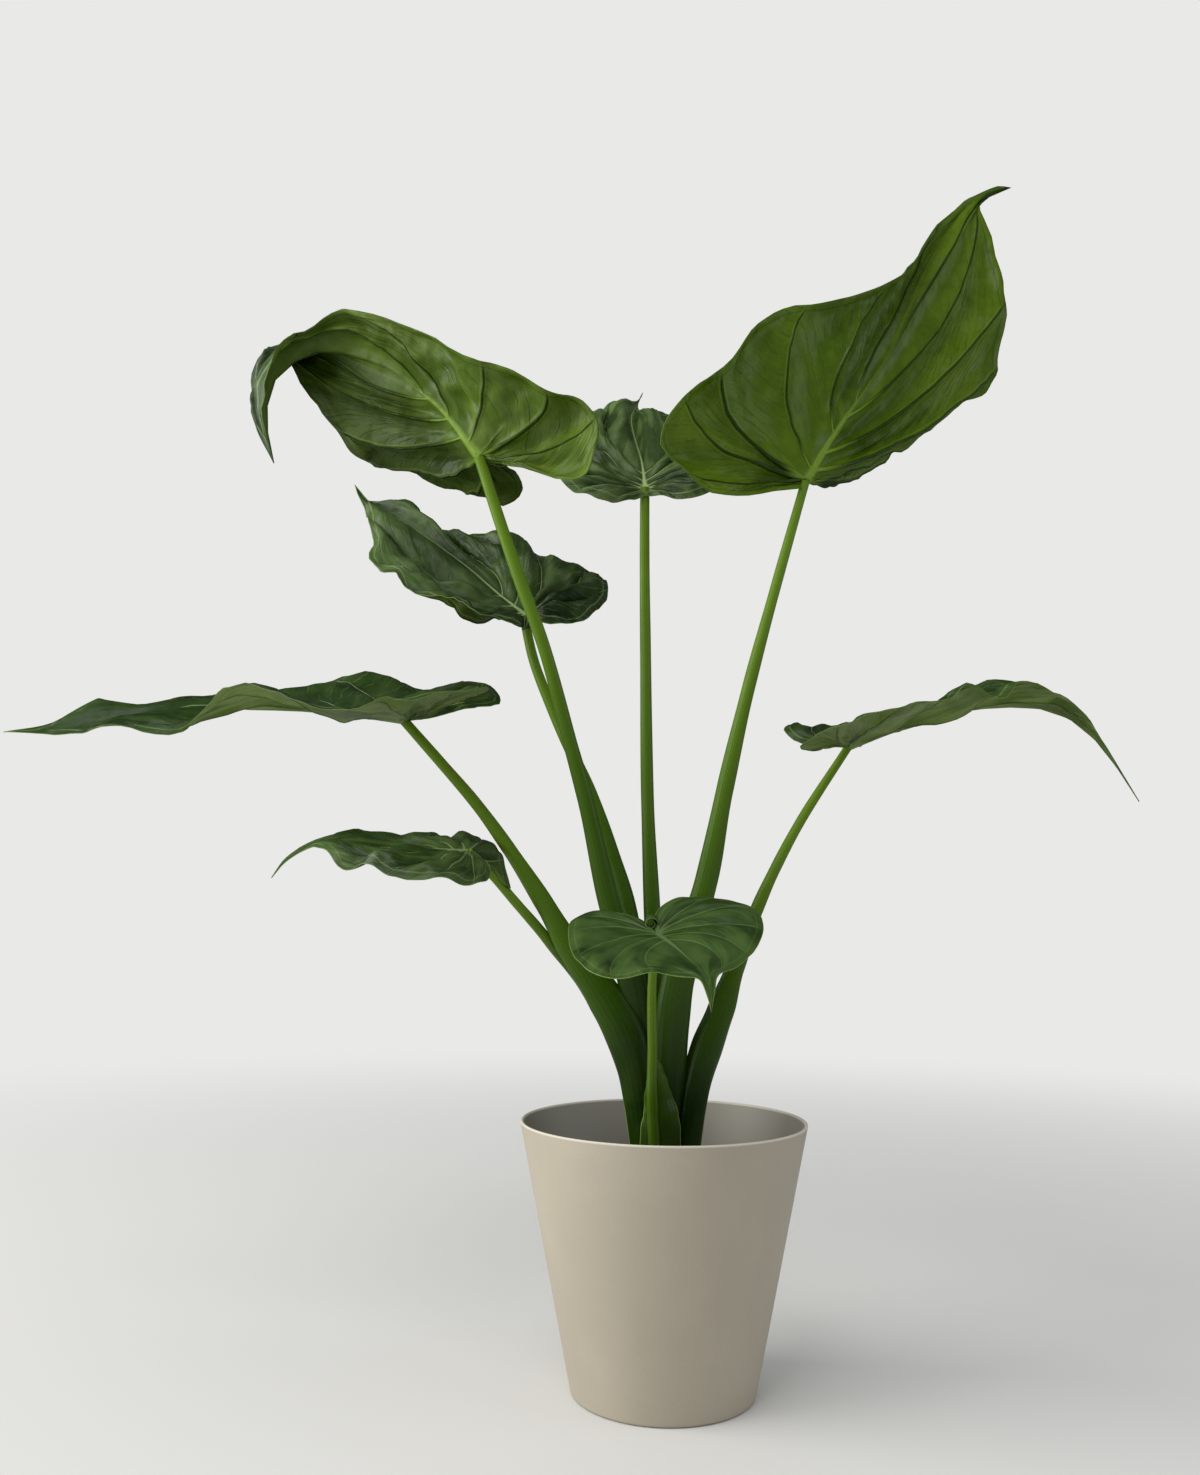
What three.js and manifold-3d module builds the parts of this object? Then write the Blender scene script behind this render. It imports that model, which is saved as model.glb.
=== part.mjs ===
// Potted chinese taro: eight arrow-shaped leaves on sheathing stalks, standing in a tapered round pot.
// Millimetres, +Z up, the front towards -Y, the origin at the centre of the pot's underside.

import * as THREE from 'three';
import { mergeVertices } from 'three/addons/utils/BufferGeometryUtils.js';
import Module from 'manifold-3d';

const wasm = await Module();
wasm.setup();

// Pot
const POT_HEIGHT = 195;
const POT_RIM_RADIUS = 110;
const POT_BASE_RADIUS = 69;
const POT_WALL = 2.4;
const POT_FLOOR = 3;
const POT_FOOT_ROUNDING = 2.5;
const POT_ROUNDING_STEPS = 4;
const POT_SIDES = 56;

// Soil, and the stem that stands in a plain hole in it
const SOIL_TOP = 148;
const SOIL_ROUGHNESS = 1.4;
const SOIL_SIDES = 36;
const STEM_RADIUS = 26;
const STEM_FOOT_RADIUS = 17;
const STEM_TOP = 150;
const STEM_FOOT = 70;

// Room between pieces that touch
const GAP = 0.3;
const STALK_CUT = 0.35;
const BLADE_CUT = 0.6;

// Blades: the thin sheet, and the ribs under it
const BLADE_THICKNESS = 0.8;
const MIDRIB_AT_STALK = 2.4;
const MIDRIB_AT_TIP = 0.3;
const MIDRIB_HALF_WIDTH = 4.5;
const JUNCTION_HALF_WIDTH = 16;
const VEIN_HEIGHT = 1.1;
const VEIN_HALF_WIDTH = 0.018;
const VEINS = 6;
const BLADE_COLUMNS = 4;
const NORMAL_EVENING = 8;

// How the veins leave the midrib: up to FAN_SHARE of each margin they start at the junction, past
// it they climb the midrib, close together at first by the power of each leaf's crowding
const FAN_SHARE = 0.36;
const FAN_BLEND = 0.12;
const LAST_ROOT = 0.985;
const FORWARD_SWEEP = 0.35;
const SIDE_REACH = 0.62;

// Stalks
const STALK_SIDES = 10;
const SECTIONS_PER_SPAN = 2;
const SHEATH_WRAP = 4;
const SHEATH_HEIGHT = 130;

const COLOURS = {
  pot: 0xbfb4a8,
  soil: 0x3d2c20,
  stem: 0x7a6a4c,
  stalk: 0x6f9a35,
  underside: 0x86a83f,
  upper: 0x4c6f45,
};

// The leaves, from the innermost stalk to the outermost. Each has the points of its midrib from the
// junction with the stalk to the tip, and of each margin from the sinus between its lobes towards the
// tip. left and right are as seen on the upper face. bowLeft and bowRight say how far the rows of
// each half bend towards the upper face, in shares of their width, from the sinus to the tip.
// stalk holds [x, y, z, half width, half depth] from the foot to the junction.
const LEAVES = {
  // The tallest leaf turns its underside to the front and points up to the right
  upper_right: {
    shows: 'underside',
    mid: [
      [105, -75, 682], [125, -68, 717], [149, -60, 754], [174, -51, 791], [198, -40, 834],
      [221, -28, 873], [247, -12, 919], [266, 3, 957], [279, 9, 972], [292, 15, 983],
      [308, 22, 991],
    ],
    left: [
      [154, 10, 721], [178, 34, 742], [198, 42, 753], [213, 40, 760], [223, 32, 770],
      [248, 22, 786], [272, 12, 793], [281, 3, 806], [285, -3, 828], [289, -6, 862], [286, 0, 891],
      [286, 4, 930], [285, 7, 951], [291, 12, 967], [299, 17, 979],
    ],
    right: [
      [106, -76, 675], [79, -90, 667], [54, -103, 659], [26, -117, 656], [8, -126, 668],
      [-10, -134, 686], [7, -136, 722], [39, -130, 749], [59, -116, 785], [90, -102, 810],
      [114, -94, 817], [151, -84, 832], [186, -60, 861], [210, -34, 896], [227, -14, 929],
      [251, 0, 957], [268, 7, 975], [285, 13, 985],
    ],
    crowding: 1.6,
    bowLeft: [0, -0.05, -0.08, -0.08, -0.05, 0],
    bowRight: [0, 0.03, 0.05, 0.03, 0, 0],
    stalk: [
      [2, -3, 144, 14, 6], [3, -7, 222, 14, 6.5], [6, -13, 271, 13.6, 7], [11, -18, 305, 12.6, 7],
      [31, -32, 377, 8.8, 6.5], [44, -46, 445, 6.6, 6], [61, -58, 521, 5, 5], [81, -68, 597, 4, 4],
      [104, -77, 680, 3.4, 3.4],
    ],
  },
  // The upper left leaf shows its underside too, and its tip hangs over and down
  upper_left: {
    shows: 'underside',
    mid: [
      [-147, -75, 698], [-174, -68, 736], [-193, -62, 755], [-218, -54, 777], [-249, -44, 794],
      [-275, -36, 803], [-295, -30, 803], [-309, -26, 797], [-322, -24, 785], [-327, -24, 768],
      [-328, -26, 748], [-317, -32, 708],
    ],
    left: [
      [-141, -74, 693], [-125, -86, 687], [-104, -96, 679], [-85, -104, 670], [-68, -108, 669],
      [-56, -108, 692], [-55, -110, 708], [-66, -114, 726], [-92, -118, 734], [-117, -120, 747],
      [-155, -116, 761], [-178, -110, 778], [-203, -100, 791], [-231, -86, 808], [-261, -74, 818],
      [-283, -62, 811], [-303, -56, 804], [-317, -53, 786], [-324, -50, 762], [-323, -44, 735],
    ],
    right: [
      [-141, -74, 693], [-123, -40, 702], [-117, -12, 695], [-130, 4, 688], [-149, 12, 696],
      [-184, 16, 708], [-213, 8, 715], [-258, -8, 726], [-269, -14, 741], [-286, -16, 762],
      [-301, -17, 780], [-312, -12, 801], [-323, -6, 818], [-335, -4, 823], [-345, -4, 806],
      [-347, -8, 778], [-337, -18, 744],
    ],
    crowding: 1.2,
    bowLeft: [0, 0, 0, 0, 0, 0],
    bowRight: [0, -0.1, -0.1, -0.1, -0.05, 0],
    stalk: [
      [-12, 8, 144, 12.5, 5.5], [-14, 2, 239, 13, 6], [-24, -12, 305, 12.5, 6.5],
      [-39, -25, 358, 12.5, 7], [-59, -42, 437, 8.8, 6.5], [-74, -50, 482, 6.8, 6],
      [-94, -62, 549, 5.6, 5.4], [-114, -68, 603, 5, 5], [-130, -73, 648, 4.6, 4.6],
      [-146, -77, 696, 4.2, 4.2],
    ],
  },
  // A small leaf leans back in the middle
  back_middle: {
    shows: 'upper',
    mid: [
      [-15, 30, 713], [-17, 62, 749], [-22, 90, 781], [-25, 112, 806], [-24, 126, 824],
      [-18, 134, 836], [-13, 140, 850],
    ],
    left: [
      [-15, 25, 704], [-32, 12, 695], [-53, 7, 694], [-75, 12, 704], [-91, 26, 725],
      [-91, 48, 754], [-79, 74, 784], [-62, 102, 812], [-53, 110, 818], [-44, 122, 832],
      [-31, 128, 837], [-19, 132, 838],
    ],
    right: [
      [-15, 25, 704], [1, 14, 699], [22, 7, 695], [46, 14, 705], [62, 32, 729], [60, 60, 763],
      [42, 92, 797], [21, 110, 813], [12, 116, 816], [2, 124, 826], [-12, 128, 824],
      [-18, 132, 831],
    ],
    crowding: 1.6,
    bowLeft: [0, 0.12, 0.1, 0, 0],
    bowRight: [0, 0.12, 0.1, 0, 0],
    stalk: [
      [4, 19, 144, 10, 5], [-2, 20, 222, 9, 5.5], [-6, 21, 304, 7.6, 6], [-8, 22, 351, 6.8, 6],
      [-12, 25, 444, 5.3, 5.3], [-14, 28, 571, 4.6, 4.6], [-15, 29, 649, 4.2, 4.2],
      [-15, 30, 713, 4, 4],
    ],
  },
  // A leaf leans back to the left, its near lobe folded down
  back_left: {
    shows: 'upper',
    mid: [
      [-116, 35, 602], [-143, 60, 628], [-170, 82, 656], [-207, 106, 688], [-232, 120, 708],
      [-257, 132, 726], [-273, 138, 736], [-283, 142, 746], [-289, 146, 757],
    ],
    left: [
      [-112, 28, 596], [-108, 10, 587], [-114, -14, 578], [-132, -30, 582], [-159, -28, 590],
      [-187, -4, 606], [-214, 20, 619], [-228, 38, 638], [-240, 48, 642], [-258, 70, 663],
      [-257, 86, 678], [-266, 104, 703], [-273, 124, 723], [-285, 140, 746],
    ],
    right: [
      [-112, 28, 596], [-96, 22, 592], [-82, 20, 591], [-66, 26, 597], [-47, 46, 618],
      [-49, 66, 639], [-65, 84, 660], [-100, 102, 674], [-135, 118, 699], [-151, 122, 703],
      [-168, 124, 699], [-200, 128, 704], [-212, 130, 713], [-226, 136, 732], [-244, 139, 739],
      [-264, 142, 739], [-279, 143, 741],
    ],
    crowding: 1.6,
    bowLeft: [0, -0.25, -0.25, -0.1, 0, 0],
    bowRight: [0, 0.1, 0, 0, 0, 0],
    stalk: [
      [-16, 18, 144, 9, 5], [-15, 17, 237, 8.5, 5.5], [-21, 20, 315, 7.5, 6],
      [-28, 22, 358, 6.8, 6], [-42, 25, 403, 6, 5.6], [-59, 28, 450, 5.2, 5.2],
      [-80, 31, 494, 4.8, 4.8], [-95, 33, 528, 4.4, 4.4], [-108, 34, 562, 4.2, 4.2],
      [-117, 34, 600, 4, 4],
    ],
  },
  // The right leaf lies nearly level, with a waved margin and a drooping tip
  right: {
    shows: 'upper',
    mid: [
      [149, 0, 486], [184, 4, 500], [226, 8, 515], [267, 10, 522], [308, 10, 522], [327, 8, 516],
      [345, 5, 502], [362, 2, 478], [381, 0, 444],
    ],
    left: [
      [145, -1, 487], [129, 24, 490], [112, 42, 497], [105, 54, 509], [116, 64, 513],
      [134, 74, 513], [166, 88, 520], [191, 92, 525], [244, 88, 538], [264, 82, 542],
      [281, 76, 552], [294, 70, 556], [309, 64, 554], [325, 54, 545], [340, 40, 532],
      [350, 26, 515], [359, 14, 496],
    ],
    right: [
      [145, -1, 487], [125, -20, 481], [103, -40, 479], [114, -62, 487], [127, -72, 491],
      [150, -80, 499], [181, -84, 508], [196, -82, 509], [208, -80, 513], [220, -78, 524],
      [234, -72, 521], [248, -64, 515], [258, -60, 519], [267, -57, 529], [287, -48, 528],
      [306, -38, 523], [327, -26, 516], [344, -14, 499], [360, -4, 476],
    ],
    crowding: 1.6,
    bowLeft: [0, -0.05, -0.1, -0.1, 0, 0],
    bowRight: [0, -0.05, -0.1, -0.1, 0, 0],
    stalk: [
      [15, -4, 144, 13, 6], [26, -5, 219, 12, 6.5], [33, -5, 249, 12.4, 6.8],
      [44, -4, 277, 10.7, 6.5], [56, -3, 311, 7.4, 6], [73, -2, 355, 5.2, 5],
      [88, -1, 387, 4.3, 4.3], [110, 0, 427, 3.8, 3.8], [148, 0, 485, 3.2, 3.2],
    ],
  },
  // The longest leaf lies nearly level to the left, waved at both margins
  long_left: {
    shows: 'upper',
    mid: [
      [-210, 0, 504], [-256, 4, 510], [-298, 7, 514], [-342, 9, 515], [-374, 10, 518],
      [-410, 8, 511], [-449, 5, 501], [-488, 2, 495], [-533, 0, 492],
    ],
    left: [
      [-204, 0, 505], [-187, -16, 505], [-165, -38, 512], [-145, -59, 515], [-135, -74, 517],
      [-158, -90, 512], [-194, -96, 504], [-211, -96, 506], [-228, -94, 498], [-248, -90, 498],
      [-274, -84, 503], [-300, -72, 515], [-326, -60, 522], [-343, -48, 520], [-355, -38, 511],
      [-366, -35, 499], [-381, -36, 488], [-396, -36, 486], [-416, -32, 489], [-443, -24, 493],
      [-464, -16, 489],
    ],
    right: [
      [-204, 0, 505], [-183, 18, 511], [-157, 43, 524], [-138, 64, 531], [-147, 82, 548],
      [-173, 92, 555], [-215, 101, 551], [-240, 104, 561], [-261, 104, 565], [-281, 100, 561],
      [-317, 80, 545], [-339, 66, 541], [-360, 54, 535], [-385, 40, 528], [-401, 37, 528],
      [-419, 34, 523], [-447, 30, 520], [-466, 24, 523], [-482, 15, 512], [-499, 7, 500],
    ],
    crowding: 1.6,
    bowLeft: [0, -0.05, -0.1, -0.1, 0, 0],
    bowRight: [0, -0.05, -0.1, -0.05, 0, 0],
    stalk: [
      [-14, -6, 144, 14.5, 6], [-23, -9, 227, 15.5, 6.5], [-31, -10, 259, 16, 7],
      [-42, -10, 281, 14.6, 7], [-59, -9, 306, 12.2, 6.5], [-73, -8, 324, 10, 6.2],
      [-93, -6, 357, 7.6, 5.8], [-122, -3, 400, 5.6, 5.3], [-149, -1, 436, 4.7, 4.7],
      [-180, 0, 471, 4.2, 4.2], [-210, 0, 504, 3.9, 3.9],
    ],
  },
  // A small leaf hangs low on the left, crumpled at its near margin
  low_left: {
    shows: 'underside',
    mid: [
      [-152, -38, 398], [-173, -36, 399], [-196, -34, 400], [-220, -32, 400], [-243, -31, 402],
      [-259, -30, 403], [-270, -30, 403], [-282, -30, 398], [-294, -30, 389], [-303, -30, 376],
    ],
    left: [
      [-147, -40, 397], [-136, -54, 389], [-131, -64, 382], [-135, -80, 373], [-147, -87, 370],
      [-163, -90, 375], [-183, -90, 374], [-202, -84, 376], [-223, -74, 386], [-233, -68, 383],
      [-245, -62, 384], [-255, -52, 394], [-263, -46, 398], [-279, -38, 394],
    ],
    right: [
      [-147, -40, 397], [-134, -28, 388], [-124, -20, 378], [-117, -14, 370], [-122, -4, 385],
      [-130, 8, 399], [-159, 18, 408], [-199, 20, 409], [-237, 14, 409], [-260, 0, 411],
      [-269, -14, 405], [-283, -21, 401],
    ],
    crowding: 1.6,
    bowLeft: [0, 0.15, 0.1, 0.05, 0],
    bowRight: [0, 0.3, 0.1, 0.05, 0],
    stalk: [
      [-25, 9, 144, 8, 5], [-32, 8, 238, 7.5, 5], [-49, 7, 276, 6.5, 5], [-67, 5, 303, 5.4, 4.6],
      [-83, 1, 321, 4.6, 4.2], [-99, -5, 340, 4, 4], [-114, -13, 357, 3.7, 3.7],
      [-134, -25, 380, 3.4, 3.4], [-151, -38, 397, 3, 3],
    ],
  },
  // A small leaf points to the front and down
  front: {
    shows: 'upper',
    mid: [
      [-9, -70, 337], [1, -100, 330], [9, -132, 322], [16, -156, 315], [19, -174, 308],
      [20, -190, 299], [19, -200, 291],
    ],
    left: [
      [-11, -65, 340], [-9, -56, 351], [0, -50, 360], [17, -46, 364], [42, -50, 363],
      [63, -64, 356], [67, -86, 344], [60, -110, 331], [44, -140, 318], [27, -164, 312],
      [23, -182, 303],
    ],
    right: [
      [-11, -65, 340], [-21, -56, 348], [-35, -48, 352], [-56, -46, 353], [-70, -58, 347],
      [-73, -84, 335], [-67, -116, 320], [-51, -142, 310], [-33, -154, 309], [-16, -160, 313],
      [3, -168, 311], [13, -173, 310], [17, -188, 301],
    ],
    crowding: 1.6,
    bowLeft: [0, 0.05, 0.05, 0, 0],
    bowRight: [0, 0.05, 0.05, 0, 0],
    stalk: [
      [-5, -19, 144, 16, 5.5], [-5, -22, 199, 14.5, 5.5], [-5, -25, 219, 11, 5],
      [-8, -29, 236, 7.2, 4.6], [-10, -33, 252, 4, 4], [-12, -42, 280, 3.4, 3.4],
      [-12, -53, 306, 3.2, 3.2], [-9, -70, 336, 3, 3],
    ],
  },
};

const toVector = ([x, y, z]) => new THREE.Vector3(x, y, z);
const curveThrough = (points) => new THREE.CatmullRomCurve3(points.map(toVector));
const clampShare = (share) => Math.min(Math.max(share, 0), 1);
const smooth = (share) => share * share * (3 - 2 * share);
const mix = (from, to, share) => from + (to - from) * share;

// A value that eases from one to the next of some evenly spaced values
function along(values, share) {
  const place = clampShare(share) * (values.length - 1);
  const step = Math.min(Math.floor(place), values.length - 2);
  return mix(values[step], values[step + 1], smooth(place - step));
}

function triangleGeometry(positions, triangles) {
  const geometry = new THREE.BufferGeometry();
  geometry.setAttribute('position', new THREE.Float32BufferAttribute(positions, 3));
  geometry.setIndex(triangles);
  return geometry;
}

function addTriangle(triangles, a, b, c) {
  if (a !== b && b !== c && c !== a) triangles.push(a, b, c);
}

function addQuad(triangles, [a, b, c, d]) {
  addTriangle(triangles, a, b, c);
  addTriangle(triangles, a, c, d);
}

function toSolid(geometry) {
  geometry.deleteAttribute('normal');
  geometry.deleteAttribute('uv');
  const welded = mergeVertices(geometry);
  return new wasm.Manifold(new wasm.Mesh({
    numProp: 3,
    vertProperties: new Float32Array(welded.attributes.position.array),
    triVerts: new Uint32Array(welded.index.array),
  }));
}

function toGeometry(solid) {
  const mesh = solid.getMesh();
  return triangleGeometry(Array.from(mesh.vertProperties), Array.from(mesh.triVerts));
}

// The largest of the separate bodies that a cut leaves
function largestBody(solid) {
  return solid.decompose().reduce((best, body) => (body.volume() > best.volume() ? body : best));
}

// A closed profile of [radius, height] points, turned round the upright axis
function turned(profile, sides) {
  const points = profile.map(([radius, height]) => new THREE.Vector2(radius, height));
  return new THREE.LatheGeometry(points, sides).rotateX(Math.PI / 2);
}

const potRadiusAt = (height) => mix(POT_BASE_RADIUS, POT_RIM_RADIUS, height / POT_HEIGHT);

function potGeometry() {
  const foot = [];
  for (let step = 0; step <= POT_ROUNDING_STEPS; step += 1) {
    const angle = (-Math.PI / 2) * (1 - step / POT_ROUNDING_STEPS);
    foot.push([
      POT_BASE_RADIUS + POT_FOOT_ROUNDING * (Math.cos(angle) - 1),
      POT_FOOT_ROUNDING * (Math.sin(angle) + 1),
    ]);
  }
  const lip = [];
  for (let step = 0; step <= POT_ROUNDING_STEPS; step += 1) {
    const angle = (Math.PI * step) / POT_ROUNDING_STEPS;
    lip.push([
      POT_RIM_RADIUS + (POT_WALL / 2) * (Math.cos(angle) - 1),
      POT_HEIGHT + (POT_WALL / 2) * (Math.sin(angle) - 1),
    ]);
  }
  return turned([
    [0, 0],
    ...foot,
    ...lip,
    [potRadiusAt(POT_FLOOR) - POT_WALL, POT_FLOOR],
    [0, POT_FLOOR],
  ], POT_SIDES);
}

// The soil fills the pot to below its rim, with an uneven top and a plain hole for the stem
function soilGeometry() {
  const flatSide = Math.cos(Math.PI / SOIL_SIDES);
  const outerRadius = (height) => (potRadiusAt(height) - POT_WALL - 2 * GAP) * flatSide;
  const holeRadius = STEM_RADIUS + 2 * GAP;
  const topRadius = (share) => mix(outerRadius(SOIL_TOP), holeRadius, share);
  const bottom = POT_FLOOR + GAP;
  const geometry = turned([
    [0, bottom],
    [outerRadius(bottom), bottom],
    [topRadius(0), SOIL_TOP - SOIL_ROUGHNESS],
    [topRadius(0.25), SOIL_TOP],
    [topRadius(0.5), SOIL_TOP],
    [topRadius(0.75), SOIL_TOP],
    [holeRadius, SOIL_TOP],
    [holeRadius, STEM_FOOT - GAP],
    [0, STEM_FOOT - GAP],
  ], SOIL_SIDES);
  const position = geometry.attributes.position;
  for (let corner = 0; corner < position.count; corner += 1) {
    const x = position.getX(corner);
    const y = position.getY(corner);
    const onTop = position.getZ(corner) > SOIL_TOP - 0.01 && Math.hypot(x, y) > holeRadius + 1;
    const wave = Math.sin(0.13 * x + 1.3) * Math.cos(0.11 * y) + 0.5 * Math.sin(0.29 * (x - y));
    if (onTop) position.setZ(corner, SOIL_TOP + SOIL_ROUGHNESS * (wave - 0.5));
  }
  return geometry;
}

function stemGeometry() {
  return turned([
    [0, STEM_FOOT],
    [STEM_FOOT_RADIUS, STEM_FOOT],
    [STEM_RADIUS, mix(STEM_FOOT, STEM_TOP, 0.4)],
    [STEM_RADIUS, STEM_TOP],
    [0, STEM_TOP],
  ], SOIL_SIDES);
}

// The share of the midrib where the row starts that ends at this share of the margin
function rootShare(leaf, share) {
  return LAST_ROOT * clampShare((share - FAN_SHARE) / (1 - FAN_SHARE)) ** leaf.crowding;
}

// One row of half a blade, from climb along the midrib out to the margin. side is 1 on the left half
// and -1 on the right, and room carries the margin further out.
function bladeRow(midrib, climb, margin, bows, side, share, room) {
  const root = midrib.getPointAt(climb);
  const forward = midrib.getTangentAt(climb);
  const edge = margin.getPointAt(share);
  const reach = edge.clone().sub(root);
  edge.addScaledVector(reach.clone().normalize(), room);
  const ahead = reach.dot(forward);
  const sideways = reach.clone().addScaledVector(forward, -ahead);
  const upwards = forward.clone().cross(sideways).normalize().multiplyScalar(side);
  const control = root.clone()
    .addScaledVector(forward, FORWARD_SWEEP * ahead)
    .addScaledVector(sideways, SIDE_REACH)
    .addScaledVector(upwards, along(bows, share) * sideways.length());
  return new THREE.QuadraticBezierCurve3(root, control, edge);
}

// The shares of the margin at which rows lie: three close together at each vein, one between veins
function rowShares() {
  const spacing = 1 / (VEINS + 1);
  const shares = [0];
  for (let vein = 1; vein <= VEINS; vein += 1) {
    const middle = vein * spacing;
    shares.push(middle - spacing / 2, middle - VEIN_HALF_WIDTH, middle, middle + VEIN_HALF_WIDTH);
  }
  shares.push(1 - spacing / 2, 1);
  return shares;
}

// The shares of a row at which its corners lie: the second is at the edge of the midrib
function columnShares(share, length) {
  const inFan = 1 - smooth(clampShare((share - FAN_SHARE) / FAN_BLEND));
  const ribHalfWidth = mix(MIDRIB_HALF_WIDTH, JUNCTION_HALF_WIDTH, inFan);
  const ribEdge = Math.min(ribHalfWidth / length, 0.3);
  const shares = [0];
  for (let column = 1; column <= BLADE_COLUMNS; column += 1) {
    shares.push(mix(ribEdge, 1, (column - 1) / (BLADE_COLUMNS - 1)));
  }
  return shares;
}

// How far the underside lies below the upper face, with the midrib and the veins
function sheetThickness(share, climb, across) {
  if (across === 0) return BLADE_THICKNESS + mix(MIDRIB_AT_STALK, MIDRIB_AT_TIP, Math.sqrt(climb));
  const veinPlace = share * (VEINS + 1);
  const onVein = Math.abs(veinPlace - Math.round(veinPlace)) < 1e-6 && share > 0 && share < 1;
  return BLADE_THICKNESS + (onVein ? VEIN_HEIGHT * Math.sin(Math.PI * across) : 0);
}

// The upper face of a blade, with the thickness at each corner. The halves share the midrib and
// their last rows, and their first rows where they start at one sinus. All rows of the fan share
// the junction.
function upperFace(leaf, room) {
  const positions = [];
  const thicknesses = [];
  const triangles = [];
  const tip = leaf.mid[leaf.mid.length - 1];
  const midrib = curveThrough(leaf.mid);
  const halves = [[leaf.left, leaf.bowLeft, 1], [leaf.right, leaf.bowRight, -1]];
  for (const [marginPoints, bows, side] of halves) {
    const margin = curveThrough([...marginPoints, tip]);
    const firstCorner = thicknesses.length;
    const shares = rowShares();
    for (const share of shares) {
      const climb = rootShare(leaf, share);
      const row = bladeRow(midrib, climb, margin, bows, side, share, room);
      for (const across of columnShares(share, row.getLength())) {
        positions.push(...row.getPoint(across).toArray());
        thicknesses.push(sheetThickness(share, climb, across));
      }
    }
    for (let row = 0; row < shares.length - 1; row += 1) {
      for (let column = 0; column < BLADE_COLUMNS; column += 1) {
        const corner = firstCorner + row * (BLADE_COLUMNS + 1) + column;
        const ahead = corner + BLADE_COLUMNS + 1;
        const quad = [corner, ahead, ahead + 1, corner + 1];
        addQuad(triangles, side > 0 ? quad : quad.reverse());
      }
    }
  }
  const face = triangleGeometry(positions, triangles);
  face.setAttribute('thickness', new THREE.Float32BufferAttribute(thicknesses, 1));
  return mergeVertices(face);
}

// The directions in which the sheet gets its thickness: the corners' normals, each averaged with its
// neighbours', so that they turn gently across a fold
function evenNormals(face) {
  face.computeVertexNormals();
  const { position, normal } = face.attributes;
  let normals = Array.from({ length: position.count }, (unused, corner) => (
    new THREE.Vector3().fromBufferAttribute(normal, corner)
  ));
  for (let round = 0; round < NORMAL_EVENING; round += 1) {
    const sums = normals.map((direction) => direction.clone());
    for (let first = 0; first < face.index.count; first += 3) {
      const corners = [0, 1, 2].map((step) => face.index.getX(first + step));
      for (const corner of corners) {
        for (const neighbour of corners) sums[corner].add(normals[neighbour]);
      }
    }
    normals = sums.map((direction) => direction.normalize());
  }
  return normals;
}

// A blade as a closed solid: the upper face, the underside below it, and the rim between them.
// room makes it thicker and wider, to cut its stalk clear of it.
function bladeGeometry(leaf, room = 0) {
  const face = upperFace(leaf, room);
  const { position, thickness } = face.attributes;
  const normals = evenNormals(face);
  const corners = [];
  const addLayer = (offsetAt) => {
    normals.forEach((upwards, corner) => {
      const point = new THREE.Vector3().fromBufferAttribute(position, corner);
      corners.push(...point.addScaledVector(upwards, offsetAt(corner)).toArray());
    });
  };
  addLayer(() => room);
  addLayer((corner) => -thickness.getX(corner) - room);
  const triangles = [];
  const rim = new Map();
  for (let first = 0; first < face.index.count; first += 3) {
    const [a, b, c] = [0, 1, 2].map((step) => face.index.getX(first + step));
    if (a === b || b === c || c === a) continue;
    triangles.push(a, b, c);
    triangles.push(a + position.count, c + position.count, b + position.count);
    for (const [from, to] of [[a, b], [b, c], [c, a]]) {
      if (!rim.delete(`${to} ${from}`)) rim.set(`${from} ${to}`, [from, to]);
    }
  }
  for (const [from, to] of rim.values()) {
    addQuad(triangles, [to, from, from + position.count, to + position.count]);
  }
  return triangleGeometry(corners, triangles);
}

// A stalk as a loft of ovals that lie wide in the plane of the front. The sheath at its foot wraps
// round the middle of the plant. room makes it thicker all round, to cut its neighbours clear of it.
function stalkGeometry(waypoints, room = 0) {
  const line = curveThrough(waypoints.map(([x, y, z]) => [x, y, z]));
  const halfWidths = waypoints.map((waypoint) => waypoint[3] + room);
  const halfDepths = waypoints.map((waypoint) => waypoint[4] + room);
  const inward = -Math.sign(waypoints[0][1]);
  const steps = (waypoints.length - 1) * SECTIONS_PER_SPAN;
  const positions = [];
  const triangles = [];
  for (let step = 0; step <= steps; step += 1) {
    const share = step / steps;
    const centre = line.getPoint(share);
    const forward = line.getTangent(share);
    const away = new THREE.Vector3(0, 1, 0).addScaledVector(forward, -forward.y).normalize();
    const sideways = away.clone().cross(forward);
    const wrap = inward * SHEATH_WRAP * (1 - clampShare((centre.z - STEM_TOP) / SHEATH_HEIGHT));
    for (let side = 0; side < STALK_SIDES; side += 1) {
      const angle = (2 * Math.PI * side) / STALK_SIDES;
      const point = centre.clone()
        .addScaledVector(sideways, along(halfWidths, share) * Math.cos(angle))
        .addScaledVector(away, along(halfDepths, share) * Math.sin(angle))
        .addScaledVector(away, wrap * Math.cos(angle) ** 2);
      positions.push(...point.toArray());
    }
  }
  for (let step = 0; step < steps; step += 1) {
    const ring = step * STALK_SIDES;
    for (let side = 0; side < STALK_SIDES; side += 1) {
      const next = (side + 1) % STALK_SIDES;
      addQuad(triangles, [ring + side, ring + next, ring + STALK_SIDES + next, ring + STALK_SIDES + side]);
    }
  }
  const top = steps * STALK_SIDES;
  for (let side = 1; side < STALK_SIDES - 1; side += 1) {
    addTriangle(triangles, 0, side + 1, side);
    addTriangle(triangles, top, top + side, top + side + 1);
  }
  return triangleGeometry(positions, triangles);
}

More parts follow.
